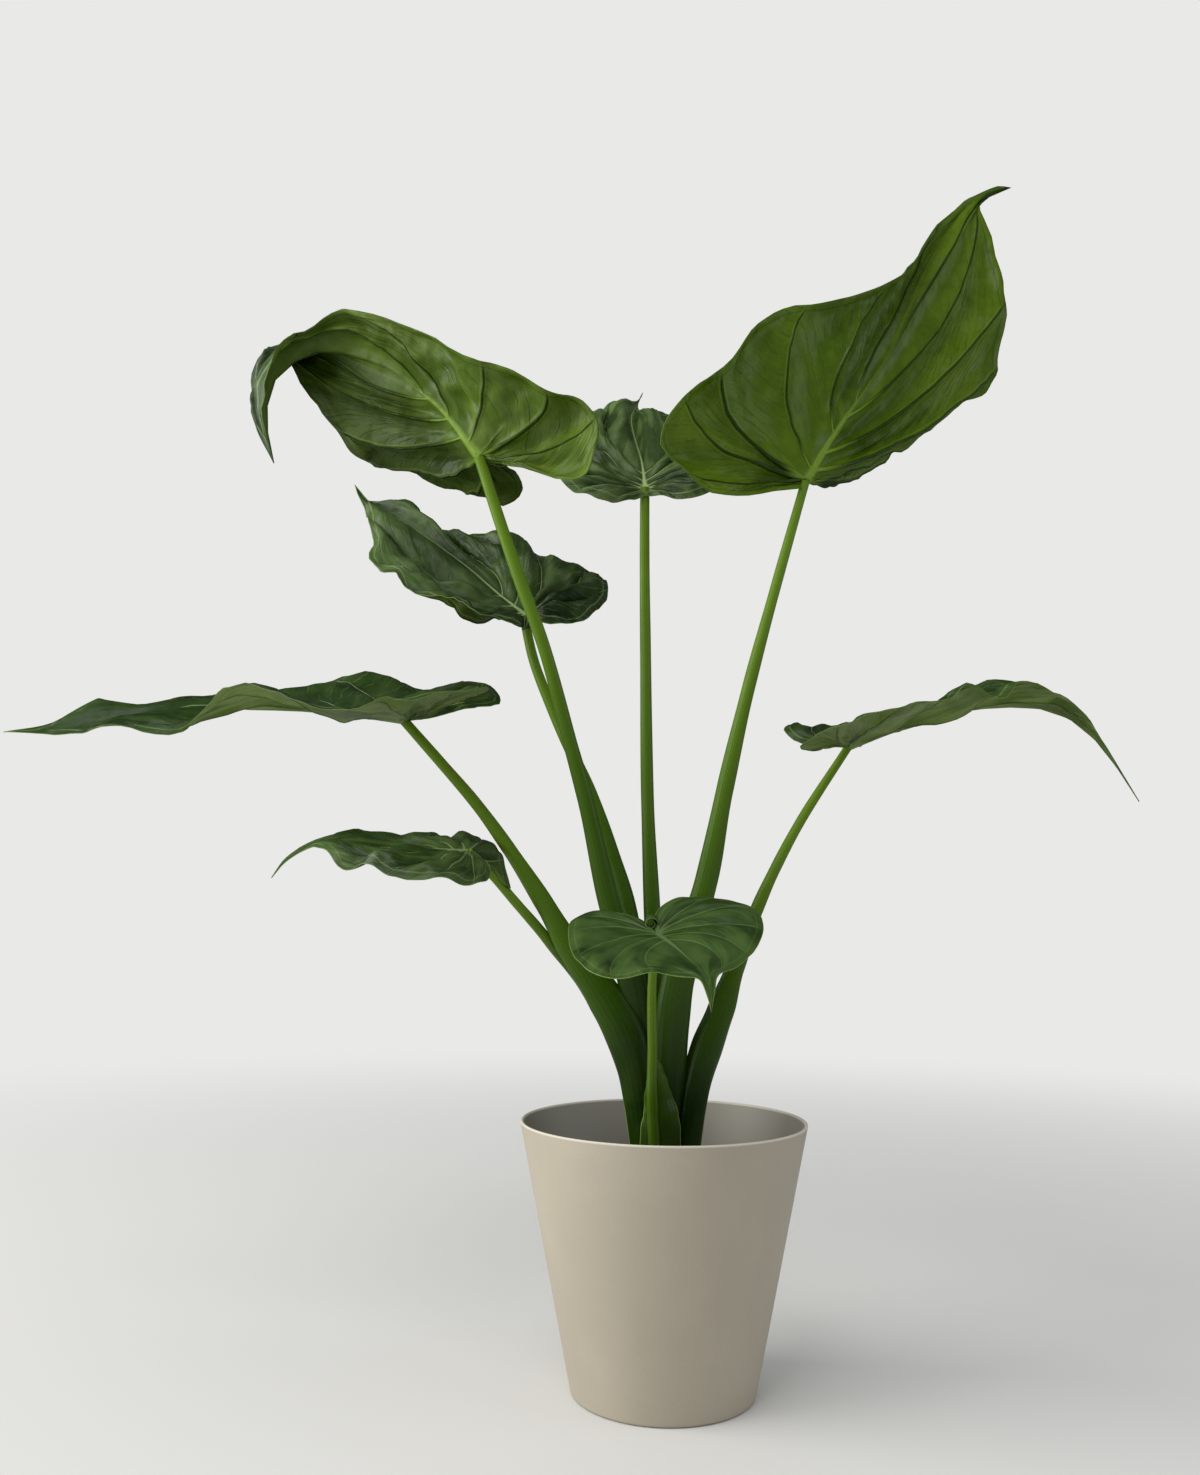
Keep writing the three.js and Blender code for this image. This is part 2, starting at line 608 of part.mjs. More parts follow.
// A stalk with a level foot just above the stem, cut clear of its blade and of the stalks inside it
function fittedStalk(leaf, innerLeaves) {
  let stalk = toSolid(stalkGeometry(leaf.stalk)).trimByPlane([0, 0, 1], STEM_TOP + GAP);
  stalk = stalk.subtract(toSolid(bladeGeometry(leaf, BLADE_CUT)));
  for (const inner of innerLeaves) {
    stalk = stalk.subtract(toSolid(stalkGeometry(inner.stalk, STALK_CUT)));
  }
  return toGeometry(largestBody(stalk));
}

function namedMesh(name, geometry, color, roughness) {
  const material = new THREE.MeshStandardMaterial({ color, roughness, metalness: 0, flatShading: true });
  const mesh = new THREE.Mesh(geometry, material);
  mesh.name = name;
  return mesh;
}

function leafGroup(name, leaf, innerLeaves) {
  const leafParts = new THREE.Group();
  leafParts.add(namedMesh(`blade_${name}`, bladeGeometry(leaf), COLOURS[leaf.shows], 0.45));
  leafParts.add(namedMesh(`stalk_${name}`, fittedStalk(leaf, innerLeaves), COLOURS.stalk, 0.4));
  return leafParts;
}

const group = new THREE.Group();
group.add(namedMesh('pot', potGeometry(), COLOURS.pot, 0.55));
group.add(namedMesh('soil', soilGeometry(), COLOURS.soil, 0.95));
group.add(namedMesh('stem', stemGeometry(), COLOURS.stem, 0.8));
const innerLeaves = [];
for (const [name, leaf] of Object.entries(LEAVES)) {
  group.add(leafGroup(name, leaf, innerLeaves));
  innerLeaves.push(leaf);
}

export default group;
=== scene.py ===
"""Potted chinese taro: eight arrow-shaped leaves on sheathing stalks, standing in a tapered round pot."""

import math
import random

import bmesh
import bpy
import numpy as np
from mathutils import Matrix, Vector, noise


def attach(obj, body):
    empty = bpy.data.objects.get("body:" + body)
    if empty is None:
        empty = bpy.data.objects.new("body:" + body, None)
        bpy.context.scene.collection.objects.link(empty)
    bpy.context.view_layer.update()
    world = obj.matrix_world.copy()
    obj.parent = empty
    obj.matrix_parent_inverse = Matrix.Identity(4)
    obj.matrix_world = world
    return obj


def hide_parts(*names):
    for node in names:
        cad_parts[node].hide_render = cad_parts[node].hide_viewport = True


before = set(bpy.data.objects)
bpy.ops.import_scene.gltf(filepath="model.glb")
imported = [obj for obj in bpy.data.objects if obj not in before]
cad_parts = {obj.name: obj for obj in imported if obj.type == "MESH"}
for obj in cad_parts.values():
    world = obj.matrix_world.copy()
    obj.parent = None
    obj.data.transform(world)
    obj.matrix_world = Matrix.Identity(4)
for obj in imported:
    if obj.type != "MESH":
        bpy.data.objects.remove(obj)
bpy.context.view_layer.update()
MM = 0.001

# Pot
POT_HEIGHT = 195 * MM
POT_RIM_RADIUS = 110 * MM
POT_BASE_RADIUS = 69 * MM
POT_WALL = 2.4 * MM
POT_FLOOR = 3 * MM
POT_LIP_ROUNDING = 0.48 * POT_WALL
POT_FOOT_ROUNDING = 2.5 * MM
POT_SIDES = 160

# Soil and stem
SOIL_TOP = 147.5 * MM
SOIL_GAP = 0.6 * MM
SOIL_FLOOR = POT_FLOOR + 0.3 * MM
SOIL_SIDES = 96
SOIL_RINGS = 14
# How many a metre and how high in millimetres
SOIL_HEAPS = (22, 1.6)
SOIL_LUMPS = (90, 0.8)
CRUMBS = 900
CRUMB_RADII = (0.9, 1.3, 1.8, 2.5, 3.6)
CRUMB_SEED = 7
CRUMBS_FROM_WALL = 4 * MM
STEM_RADIUS = 26 * MM
# Slimmer, so that the uneven bark stays within the stem's radius or near it
STEM_BARK_RADIUS = STEM_RADIUS * 0.97
STEM_FOOT = 70 * MM
STEM_TOP = 150 * MM
STEM_SIDES = 48
# Width and rise of each ring on the stem's top, in millimetres
STEM_RINGS = ((1.2, -1.5), (2.5, 1.0), (1.5, -1.2), (3.0, 1.4), (2.0, -0.8))

# Blades, in millimetres until their corners are placed
SHEET = 0.7
SHEET_AT_MARGIN = 0.45
# From the root to the tip of the midrib
RIB_HALF_WIDTH = (4.6, 0.8)
RIB_HEIGHT = (2.6, 0.3)
RIB_TAPER = 0.6
# From the midrib to the margin
VEIN_HALF_WIDTH = (1.9, 0.55)
VEIN_HEIGHT = (1.3, 0.25)
VEIN_FLANKS = 1.2
# How far from the margin the veins have their full height, and the sheet its full thickness
VEIN_FADE = 10
MARGIN_FADE = 8
# Each vein starts on the row at the first share of the margin and ends on the row at the second
VEINS = ((0.05, 0.12), (0.16, 0.24), (0.26, 0.36), (0.41, 0.5), (0.48, 0.66), (0.55, 0.86))
VEIN_BEND = 1.2
# The rows of corners over each vein, in half widths from its middle, and the most of the way to the
# next vein that they take up
VEIN_ROWS = (-3.0, -1.6, -0.7, 0.0, 0.7, 1.6, 3.0)
VEIN_ROOM = 0.32
ROWS_BETWEEN = 9
RIB_COLUMNS = (0.0, 0.35, 0.7, 1.0)
WIDEST_RIB = 0.3
SHEET_COLUMNS = 26
COLUMN_CROWDING = 1.15
TABLE_COLUMNS = 61
MIDRIB_SAMPLES = 400
MARGIN_SAMPLES = 700
NEAREST_AT_ONCE = 2000

# The sheet's relief: swellings between the veins, dents, waves at the margins and streaks along the
# rows. They grow from nothing at the midrib, over their reaches, and fade out at the tip
QUILT = 0.085
WIDEST_SWELL = 34
SWELL_REACH = 14
SWELLS_FROM_TIP = 0.1
BROAD_DENTS = 0.034
FINE_DENTS = 0.085
FINE_DENT_HEIGHT = 0.6
DENT_REACH = 25
DENTS_FROM_TIP = 0.15
WAVES = 1.9
WAVE_HEIGHT = 1.6
WAVE_POWER = 5
STREAKS = 3.1
STREAK_LENGTH = 1.3
STREAK_HEIGHT = 0.7
STREAK_REACH = 12
SEED_STEP = 3.7
# The painted shade on the lobes ends at this share of the margin, and fades that fast towards it
LOBES_END = 0.5
LOBES_FADE = 5.2
# The fine places that a blade's pattern counts, for each vein and for each millimetre outwards
FINE_BY_VEIN = 11
FINE_BY_MILLIMETRE = 0.22

# The small roll on the front leaf
CURL_RADII = (5.6, 2.6)
CURL_TURNS = 1.35
CURL_DEPTH = 5.0
CURL_OFFSET = (-1.6, 2.5, 4.8)
CURL_CORNERS = (41, 7)
CURL_END_DEPTH = 0.7
CURL_TILT = 0.25
# The curl carries a painted sheen of 0.15 over its face
CURL_MEASURES = {"from_rib": 99, "from_vein": 99, "out": 0.5, "painted_sheen": 0.15, "veins": 0.4}

# How the veins leave the midrib: up to FAN_SHARE of each margin they start at the junction, past
# it they climb the midrib, close together at first by the power of each leaf's crowding
FAN_SHARE = 0.36
LAST_ROOT = 0.985
FORWARD_SWEEP = 0.35
SIDE_REACH = 0.62

# Stalks, in millimetres until their corners are placed
STALK_SIDES = 40
STALK_SECTIONS = 90
SHEATH_WRAP = 4
SHEATH_HEIGHT = 130
SHEATH_SHARPNESS = 0.8
SHEATH_FADE = 1.6
FIBRE_WIDTH = 2.8
ROUND_STALK_EDGE = 4

# The leaves, from the innermost stalk to the outermost. Each has the points of its midrib from the
# junction with the stalk to the tip, and of each margin from the sinus between its lobes towards the
# tip. left and right are as seen on the upper face. bow says how far the rows of each half bend
# towards the upper face, in shares of their width, from the sinus to the tip. stalk holds
# (x, y, z, half width, half depth) from the foot to the junction, and sheath the same for a tube of
# its own at the stalk's foot. veins takes the place of VEINS on the halves that it names.
LEAVES = {
    "upper_right": {
        "mid": [
            (105, -75, 682), (125, -68, 717), (149, -60, 754), (174, -51, 791), (198, -40, 834),
            (221, -28, 873), (247, -12, 919), (262, 1, 951), (272, 9, 967), (285, 14, 981),
            (297, 18, 988), (308, 22, 991),
        ],
        "left": [
            (154, 10, 721), (178, 34, 742), (198, 42, 753), (213, 40, 760), (223, 32, 770),
            (248, 22, 786), (272, 12, 793), (281, 3, 806), (284, -3, 826), (287, -6, 842),
            (289, -6, 862), (289, 0, 887), (285, 4, 922), (279, 6, 949), (275, 8, 961),
            (277, 11, 970), (287, 15, 980), (298, 19, 987),
        ],
        "right": [
            (106, -76, 675), (79, -90, 667), (54, -103, 659), (26, -117, 656), (8, -126, 668),
            (-10, -134, 686), (7, -136, 722), (39, -130, 749), (59, -116, 785), (90, -102, 810),
            (114, -94, 817), (151, -84, 832), (186, -60, 861), (210, -34, 896), (227, -14, 929),
            (251, 0, 956), (262, 5, 968), (272, 9, 975), (285, 14, 984), (296, 18, 990),
        ],
        "crowding": 1.6,
        "bow": {"left": (0, -0.05, -0.08, -0.08, -0.05, 0), "right": (0, 0.03, 0.05, 0.03, 0, 0)},
        "veins": {
            "left": ((0.05, 0.12), (0.16, 0.24), (0.28, 0.36), (0.42, 0.47), (0.48, 0.62), (0.57, 0.9)),
            "right": ((0.05, 0.18), (0.17, 0.29), (0.25, 0.35), (0.42, 0.52), (0.53, 0.66), (0.6, 0.88)),
        },
        "stalk": [
            (2, -3, 144, 14, 6), (3, -7, 222, 14, 6.5), (6, -13, 271, 13.6, 7),
            (11, -18, 305, 12.6, 7), (31, -32, 377, 8.8, 6.5), (44, -46, 445, 6.6, 6),
            (61, -58, 521, 5, 5), (81, -68, 597, 4, 4), (104, -77, 680, 3.4, 3.4),
        ],
    },
    "upper_left": {
        "mid": [
            (-147, -75, 698), (-174, -68, 736), (-193, -62, 755), (-218, -54, 777),
            (-249, -44, 794), (-275, -36, 803), (-295, -30, 803), (-309, -26, 797),
            (-322, -24, 785), (-327, -24, 768), (-328, -26, 748), (-317, -32, 708),
        ],
        "left": [
            (-141, -74, 693), (-125, -86, 687), (-104, -96, 679), (-85, -104, 670),
            (-68, -108, 669), (-56, -108, 692), (-55, -110, 708), (-66, -114, 726),
            (-92, -118, 734), (-117, -120, 747), (-155, -116, 761), (-178, -110, 778),
            (-203, -100, 791), (-231, -86, 808), (-261, -74, 818), (-283, -62, 811),
            (-303, -56, 804), (-317, -53, 786), (-324, -50, 762), (-323, -44, 735),
        ],
        "right": [
            (-141, -74, 693), (-123, -40, 702), (-117, -12, 695), (-130, 4, 688),
            (-149, 12, 696), (-184, 16, 708), (-213, 8, 715), (-258, -8, 726), (-269, -14, 741),
            (-286, -16, 762), (-301, -17, 780), (-312, -12, 801), (-323, -6, 818),
            (-335, -4, 823), (-345, -4, 806), (-347, -8, 778), (-337, -18, 744),
        ],
        "crowding": 1.2,
        "bow": {"left": (0, 0, 0, 0, 0, 0), "right": (0, -0.1, -0.1, -0.1, -0.05, 0)},
        "veins": {
            "left": ((0.05, 0.13), (0.12, 0.26), (0.24, 0.34), (0.41, 0.44), (0.48, 0.7), (0.55, 0.88)),
            "right": ((0.06, 0.14), (0.18, 0.28), (0.32, 0.42), (0.43, 0.52), (0.48, 0.7), (0.54, 0.86)),
        },
        "stalk": [
            (-12, 8, 144, 12.5, 5.5), (-14, 2, 239, 13, 6), (-27, -12, 305, 10.5, 6.5),
            (-43, -25, 358, 8.4, 6.6), (-62, -42, 437, 6.3, 6), (-75, -50, 482, 5.5, 5.4),
            (-94, -62, 549, 4.9, 4.9), (-114, -68, 603, 5, 5), (-130, -73, 648, 4.6, 4.6),
            (-146, -77, 696, 4.2, 4.2),
        ],
    },
    "back_middle": {
        "mid": [
            (-15, 30, 713), (-17, 62, 749), (-22, 90, 781), (-25, 112, 806), (-24, 126, 824),
            (-18, 134, 836), (-13, 140, 850),
        ],
        "left": [
            (-15, 25, 704), (-32, 12, 695), (-53, 7, 694), (-75, 12, 704), (-91, 26, 725),
            (-91, 48, 754), (-79, 74, 784), (-62, 102, 812), (-53, 110, 818), (-44, 122, 832),
            (-31, 128, 837), (-19, 132, 838),
        ],
        "right": [
            (-15, 25, 704), (1, 14, 699), (22, 7, 695), (46, 14, 705), (62, 32, 729),
            (60, 60, 763), (42, 92, 797), (21, 110, 813), (12, 116, 816), (2, 124, 826),
            (-12, 128, 824), (-18, 132, 831),
        ],
        "crowding": 1.6,
        "bow": {"left": (0, 0.12, 0.1, 0, 0), "right": (0, 0.12, 0.1, 0, 0)},
        "stalk": [
            (4, 19, 144, 10, 5), (-2, 20, 222, 9, 5.5), (-6, 21, 304, 7.6, 6),
            (-8, 22, 351, 6.8, 6), (-12, 25, 444, 5.3, 5.3), (-14, 28, 571, 4.6, 4.6),
            (-15, 29, 649, 4.2, 4.2), (-15, 30, 713, 4, 4),
        ],
    },
    "back_left": {
        "mid": [
            (-116, 35, 602), (-143, 60, 628), (-170, 82, 656), (-207, 106, 688),
            (-232, 120, 708), (-257, 132, 726), (-273, 138, 736), (-283, 142, 746),
            (-289, 146, 757),
        ],
        "left": [
            (-112, 28, 596), (-108, 10, 587), (-114, -14, 578), (-132, -30, 582),
            (-159, -28, 590), (-187, -4, 606), (-214, 20, 619), (-228, 38, 638), (-240, 48, 642),
            (-258, 70, 663), (-257, 86, 678), (-266, 104, 703), (-273, 124, 723),
            (-285, 140, 746),
        ],
        "right": [
            (-112, 28, 596), (-96, 22, 592), (-82, 20, 591), (-66, 26, 597), (-47, 46, 618),
            (-49, 66, 639), (-65, 84, 660), (-100, 102, 674), (-135, 118, 699), (-151, 122, 703),
            (-168, 124, 699), (-200, 128, 704), (-212, 130, 713), (-226, 136, 732),
            (-244, 139, 739), (-264, 142, 739), (-279, 143, 741),
        ],
        "crowding": 1.6,
        "bow": {"left": (0, -0.25, -0.25, -0.1, 0, 0), "right": (0, 0.1, 0, 0, 0, 0)},
        "stalk": [
            (-16, 18, 144, 9, 5), (-15, 17, 237, 8.5, 5.5), (-21, 20, 315, 7.5, 6),
            (-28, 22, 358, 6.8, 6), (-42, 25, 403, 6, 5.6), (-59, 28, 450, 5.2, 5.2),
            (-80, 31, 494, 4.8, 4.8), (-95, 33, 528, 4.4, 4.4), (-108, 34, 562, 4.2, 4.2),
            (-117, 34, 600, 4, 4),
        ],
    },
    "right": {
        "mid": [
            (149, 0, 486), (184, 4, 500), (226, 8, 515), (267, 10, 522), (308, 10, 522),
            (327, 8, 516), (345, 5, 502), (362, 2, 478), (381, 0, 444),
        ],
        "left": [
            (145, -1, 487), (129, 24, 490), (112, 42, 497), (105, 54, 509), (116, 64, 513),
            (134, 74, 513), (166, 88, 520), (191, 92, 525), (244, 88, 538), (264, 82, 542),
            (281, 76, 552), (294, 70, 556), (309, 64, 554), (325, 54, 545), (340, 40, 532),
            (350, 26, 515), (359, 14, 496),
        ],
        "right": [
            (145, -1, 487), (125, -20, 481), (103, -40, 479), (114, -62, 487), (127, -72, 491),
            (150, -80, 499), (181, -84, 508), (196, -82, 509), (208, -80, 513), (220, -78, 524),
            (234, -72, 521), (248, -64, 515), (258, -60, 519), (267, -57, 529), (287, -48, 528),
            (306, -38, 523), (327, -26, 516), (344, -14, 499), (360, -4, 476),
        ],
        "crowding": 1.6,
        "bow": {"left": (0, -0.05, -0.1, -0.1, 0, 0), "right": (0, -0.05, -0.1, -0.1, 0, 0)},
        "stalk": [
            (12.5, -4, 144, 11.8, 6), (24, -5, 219, 11.6, 6.5), (33, -5, 249, 12.4, 6.8),
            (44, -4, 277, 10.7, 6.5), (56, -3, 311, 7.4, 6), (73, -2, 355, 5.2, 5),
            (88, -1, 387, 4.3, 4.3), (110, 0, 427, 3.8, 3.8), (148, 0, 485, 3.2, 3.2),
        ],
    },
    "long_left": {
        "mid": [
            (-210, 0, 504), (-256, 4, 510), (-298, 7, 514), (-342, 9, 515), (-374, 10, 518),
            (-410, 8, 511), (-449, 5, 501), (-488, 2, 495), (-533, 0, 492),
        ],
        "left": [
            (-204, 0, 505), (-187, -16, 505), (-165, -38, 512), (-145, -59, 515),
            (-135, -74, 517), (-158, -90, 512), (-194, -96, 504), (-211, -96, 506),
            (-228, -94, 498), (-248, -90, 498), (-274, -84, 503), (-300, -72, 515),
            (-326, -60, 522), (-343, -48, 520), (-355, -38, 511), (-366, -35, 499),
            (-381, -36, 488), (-396, -36, 486), (-416, -32, 489), (-443, -24, 493),
            (-464, -16, 489),
        ],
        "right": [
            (-204, 0, 505), (-183, 18, 511), (-157, 43, 524), (-138, 64, 531), (-147, 82, 548),
            (-173, 92, 555), (-215, 101, 551), (-240, 104, 561), (-261, 104, 565),
            (-281, 100, 561), (-317, 80, 545), (-339, 66, 541), (-360, 54, 535), (-385, 40, 528),
            (-401, 37, 528), (-419, 34, 523), (-447, 30, 520), (-466, 24, 523), (-482, 15, 512),
            (-499, 7, 500),
        ],
        "crowding": 1.15,
        "bow": {"left": (0, -0.05, -0.1, -0.1, 0, 0), "right": (0, -0.05, -0.1, -0.05, 0, 0)},
        "stalk": [
            (-9, -6, 144, 12.5, 6), (-20, -9, 227, 14.2, 6.5), (-30, -10, 259, 15.6, 7),
            (-42, -10, 281, 14.6, 7), (-59, -9, 306, 12.2, 6.5), (-73, -8, 324, 10, 6.2),
            (-93, -6, 357, 7.6, 5.8), (-122, -3, 400, 5.6, 5.3), (-149, -1, 436, 4.7, 4.7),
            (-180, 0, 471, 4.2, 4.2), (-210, 0, 504, 3.9, 3.9),
        ],
    },
    "low_left": {
        "mid": [
            (-152, -38, 398), (-173, -36, 399), (-196, -34, 400), (-220, -32, 400),
            (-243, -31, 402), (-259, -30, 403), (-270, -30, 403), (-282, -30, 398),
            (-294, -30, 389), (-303, -30, 376),
        ],
        "left": [
            (-147, -40, 397), (-136, -54, 389), (-131, -64, 382), (-135, -80, 373),
            (-147, -87, 370), (-163, -90, 375), (-183, -90, 374), (-202, -84, 376),
            (-223, -74, 386), (-233, -68, 383), (-245, -62, 384), (-257, -52, 396),
            (-268, -44, 400), (-280, -36, 396), (-292, -33, 388),
        ],
        "right": [
            (-147, -40, 397), (-134, -30, 388), (-125, -25, 378), (-119, -22, 370),
            (-124, -15, 385), (-132, -4, 399), (-158, 14, 407), (-199, 20, 409), (-237, 14, 409),
            (-260, 0, 411), (-267, -14, 406), (-274, -20, 404), (-283, -24, 400),
            (-294, -27, 391),
        ],
        "crowding": 1.6,
        "bow": {"left": (0, 0.15, 0.1, 0.05, 0), "right": (0, 0.3, 0.1, 0.05, 0)},
        "stalk": [
            (-13, 9, 144, 8, 5), (-24, 8, 214, 7.2, 5), (-32, 8, 240, 7, 5),
            (-49, 7, 276, 6.5, 5), (-67, 5, 303, 5.4, 4.6), (-83, 1, 321, 4.6, 4.2),
            (-99, -5, 340, 4, 4), (-114, -13, 357, 3.7, 3.7), (-134, -25, 380, 3.4, 3.4),
            (-151, -38, 397, 3, 3),
        ],
    },
    "front": {
        "mid": [
            (-9, -70, 337), (1, -100, 330), (9, -132, 322), (16, -156, 315), (19, -174, 308),
            (20, -190, 299), (19, -200, 291),
        ],
        "left": [
            (-11, -65, 340), (-9, -56, 351), (0, -50, 360), (17, -46, 364), (42, -50, 363),
            (63, -64, 356), (67, -86, 344), (60, -110, 331), (44, -140, 318), (27, -164, 312),
            (23, -182, 303),
        ],
        "right": [
            (-11, -65, 340), (-21, -56, 348), (-35, -48, 352), (-56, -46, 353), (-70, -58, 347),
            (-73, -84, 335), (-67, -116, 320), (-51, -142, 310), (-33, -154, 309),
            (-16, -160, 313), (3, -168, 311), (13, -173, 310), (17, -188, 301),
        ],
        "crowding": 1.6,
        "bow": {"left": (0, 0.05, 0.05, 0, 0), "right": (0, 0.05, 0.05, 0, 0)},
        "sheath": [
            (-3.8, -18, 144, 17, 5.5), (-3, -20, 190, 15.2, 5.2), (-3, -22, 202, 13.2, 5),
            (-5, -23, 214, 10.8, 4.6), (-6, -26, 225, 8.4, 4.2), (-7, -28, 235, 5.6, 3.6),
            (-8, -30, 244, 2.6, 2.4),
        ],
        "stalk": [
            (-6.5, -22, 144, 4.6, 4.4), (-9, -24, 200, 4.5, 4.4), (-10, -28, 219, 4.1, 4.2),
            (-10, -30, 236, 3.8, 3.9), (-10, -34, 252, 3.7, 3.7), (-11, -42, 280, 3.5, 3.5),
            (-11, -53, 306, 3.3, 3.3), (-9, -70, 336, 3, 3),
        ],
    },
}

# How each leaf's sheet is worked: how high the waves at its margins are, how deep the dents all over
# it, how far it swells between its veins, how clearly its veins show, how far a painted sheen covers
# the upper face and the underside, and how far painted shade darkens its right half and its lobes
WORKINGS = ("ripple", "crumple", "quilt", "veins", "painted_sheen", "painted_sheen_below", "shade_right", "shade_lobes")
SHEET_WORK = {
    "upper_right": (1.6, 3.6, 2.5, 1, 0, 0, 0, 0),
    "upper_left": (1.6, 4.2, 2.6, 1, 0.1, 0.22, 0.58, 0),
    "back_middle": (1.2, 3.4, 3.2, 1, 0.65, 0.2, 0, 0),
    "back_left": (1.6, 6, 3.2, 0.8, 0.4, 0.2, 0, 0.7),
    "right": (2, 3.2, 1.7, 0.6, 0.15, 0.6, 0, 0.2),
    "long_left": (1.6, 3.2, 1.6, 0.6, 0.1, 0.6, 0, 0.2),
    "low_left": (1.5, 3.8, 2.1, 0.45, 0.34, 0.3, 0, 0.4),
    "front": (0.7, 1.3, 1.2, 0.22, 0.22, 0.2, 0, 0),
}


# Numbers and curves

def mix(low, high, share):
    return low + (high - low) * share


def smooth(share):
    share = np.clip(share, 0, 1)
    return share * share * (3 - 2 * share)


def along(values, share):
    """The value at a share of the way along evenly spaced values, eased between them."""
    values = np.asarray(values, float)
    place = np.clip(share, 0, 1) * (len(values) - 1)
    first = np.minimum(place.astype(int), len(values) - 2)
    return mix(values[first], values[first + 1], smooth(place - first))


def length(vectors):
    return np.linalg.norm(vectors, axis=-1, keepdims=True)


def unit(vectors):
    return vectors / np.maximum(length(vectors), 1e-9)


def dot(one, other):
    return (one * other).sum(-1, keepdims=True)


def spline(points, places):
    """Points of the centripetal curve through these points, at places from 0 to 1."""
    spans = len(points) - 1
    place = np.clip(places, 0, 1) * spans
    first = np.minimum(place.astype(int), spans - 1)
    share = (place - first)[..., None]
    ends = np.vstack([2 * points[0] - points[1], points, 2 * points[-1] - points[-2]])
    before, start, end, after = (ends[first + step] for step in range(4))

    def stride(one, other):
        return np.maximum(np.sqrt(length(one - other)), 1e-6)

    gap_before, gap, gap_after = stride(before, start), stride(start, end), stride(end, after)
    leaving = (start - before) / gap_before - (end - before) / (gap_before + gap) + (end - start) / gap
    arriving = (end - start) / gap - (after - start) / (gap + gap_after) + (after - end) / gap_after
    leaving, arriving = leaving * gap, arriving * gap
    square = 3 * (end - start) - 2 * leaving - arriving
    cube = 2 * (start - end) + leaving + arriving
    return start + leaving * share + square * share ** 2 + cube * share ** 3


class Curve:
    """A smooth curve through points, with its places measured by length."""

    def __init__(self, points):
        self.points = np.asarray(points, float)
        self.places = np.linspace(0, 1, 24 * len(points))
        steps = np.linalg.norm(np.diff(spline(self.points, self.places), axis=0), axis=1)
        self.lengths = np.concatenate([[0], np.cumsum(steps)])
        self.length = self.lengths[-1]

    def at(self, share):
        places = np.interp(np.clip(share, 0, 1) * self.length, self.lengths, self.places)
        return spline(self.points, places)

    def direction(self, share):
        step = 0.002
        return unit(self.at(np.asarray(share) + step) - self.at(np.asarray(share) - step))


# Node trees

def colour(red, green, blue):
    """A colour of 0 to 255 a channel as the shader takes it."""
    def channel(value):
        value /= 255
        return value / 12.92 if value <= 0.04045 else ((value + 0.055) / 1.055) ** 2.4
    return (channel(red), channel(green), channel(blue), 1)


def fill(tree, node, inputs):
    """Links or sets a node's inputs, given as (name or number, value or socket)."""
    for key, value in dict(inputs).items():
        if isinstance(value, bpy.types.NodeSocket):
            tree.links.new(value, node.inputs[key])
        else:
            node.inputs[key].default_value = value


def add_node(tree, kind, inputs=(), **settings):
    """A node with its settings and its inputs."""
    new = tree.nodes.new(kind)
    for setting, value in settings.items():
        setattr(new, setting, value)
    fill(tree, new, inputs)
    return new


def maths(tree, operation, *values):
    return add_node(tree, "ShaderNodeMath", enumerate(values), operation=operation).outputs[0]


def times(tree, *factors):
    """The product of two or more values."""
    product = factors[0]
    for factor in factors[1:]:
        product = maths(tree, "MULTIPLY", product, factor)
    return product


def blend(tree, share, low, high):
    """One colour mixed into another."""
    return add_node(tree, "ShaderNodeMix", {0: share, 6: low, 7: high}, data_type="RGBA").outputs[2]


def ramp(tree, value, low, high, start=0.0, end=1.0, how="SMOOTHSTEP"):
    """A value carried from the range low to high over to the range start to end."""
    inputs = {0: value, 1: low, 2: high, 3: start, 4: end}
    return add_node(tree, "ShaderNodeMapRange", inputs, interpolation_type=how).outputs[0]


def object_place(tree):
    return tree.nodes.new("ShaderNodeTexCoord").outputs["Object"]


def far_out(tree, place):
    """How far a place is from the origin."""
    return add_node(tree, "ShaderNodeVectorMath", {0: place}, operation="LENGTH").outputs["Value"]


def cloud(tree, place, scale, detail, roughness=0.5):
    """Soft random values from 0 to 1 over a place."""
    inputs = {"Vector": place, "Scale": scale, "Detail": detail, "Roughness": roughness}
    return add_node(tree, "ShaderNodeTexNoise", inputs).outputs[0]


def effect(name, inputs, output):
    """A new node group with its sockets. Gives the group, its input sockets and its output socket."""
    group = bpy.data.node_groups.new(name, "ShaderNodeTree")
    for label, value in inputs.items():
        socket = group.interface.new_socket(name=label, in_out="INPUT", socket_type="NodeSocketFloat")
        socket.default_value = value
    group.interface.new_socket(name=output, in_out="OUTPUT", socket_type="NodeSocketFloat")
    given = group.nodes.new("NodeGroupInput").outputs
    return group, given, group.nodes.new("NodeGroupOutput").inputs[output]


def use(tree, group, **inputs):
    """A node group placed in a tree, with its inputs by name. Gives its output."""
    named = {label.replace("_", " ").capitalize(): value for label, value in inputs.items()}
    new = tree.nodes.new("ShaderNodeGroup")
    new.node_tree = group
    fill(tree, new, named)
    return new.outputs[0]


def make_mottle():
    """Soft patches at a scale in patches a metre, from 0 to 1."""
    group, given, output = effect("mottle", {"Scale": 30.0, "Detail": 3.0}, "Value")
    patches = cloud(group, object_place(group), given["Scale"], given["Detail"], 0.55)
    group.links.new(ramp(group, patches, 0.3, 0.7), output)
    return group


def make_line():
    """1 within a half width of a line, falling softly to 0, from the distance to the line."""
    group, given, output = effect("line", {"Distance": 1.0, "Half width": 1.0}, "Mask")
    inner, outer = (times(group, given["Half width"], share) for share in (0.45, 1.25))
    group.links.new(ramp(group, given["Distance"], inner, outer, 1.0, 0.0), output)
    return group


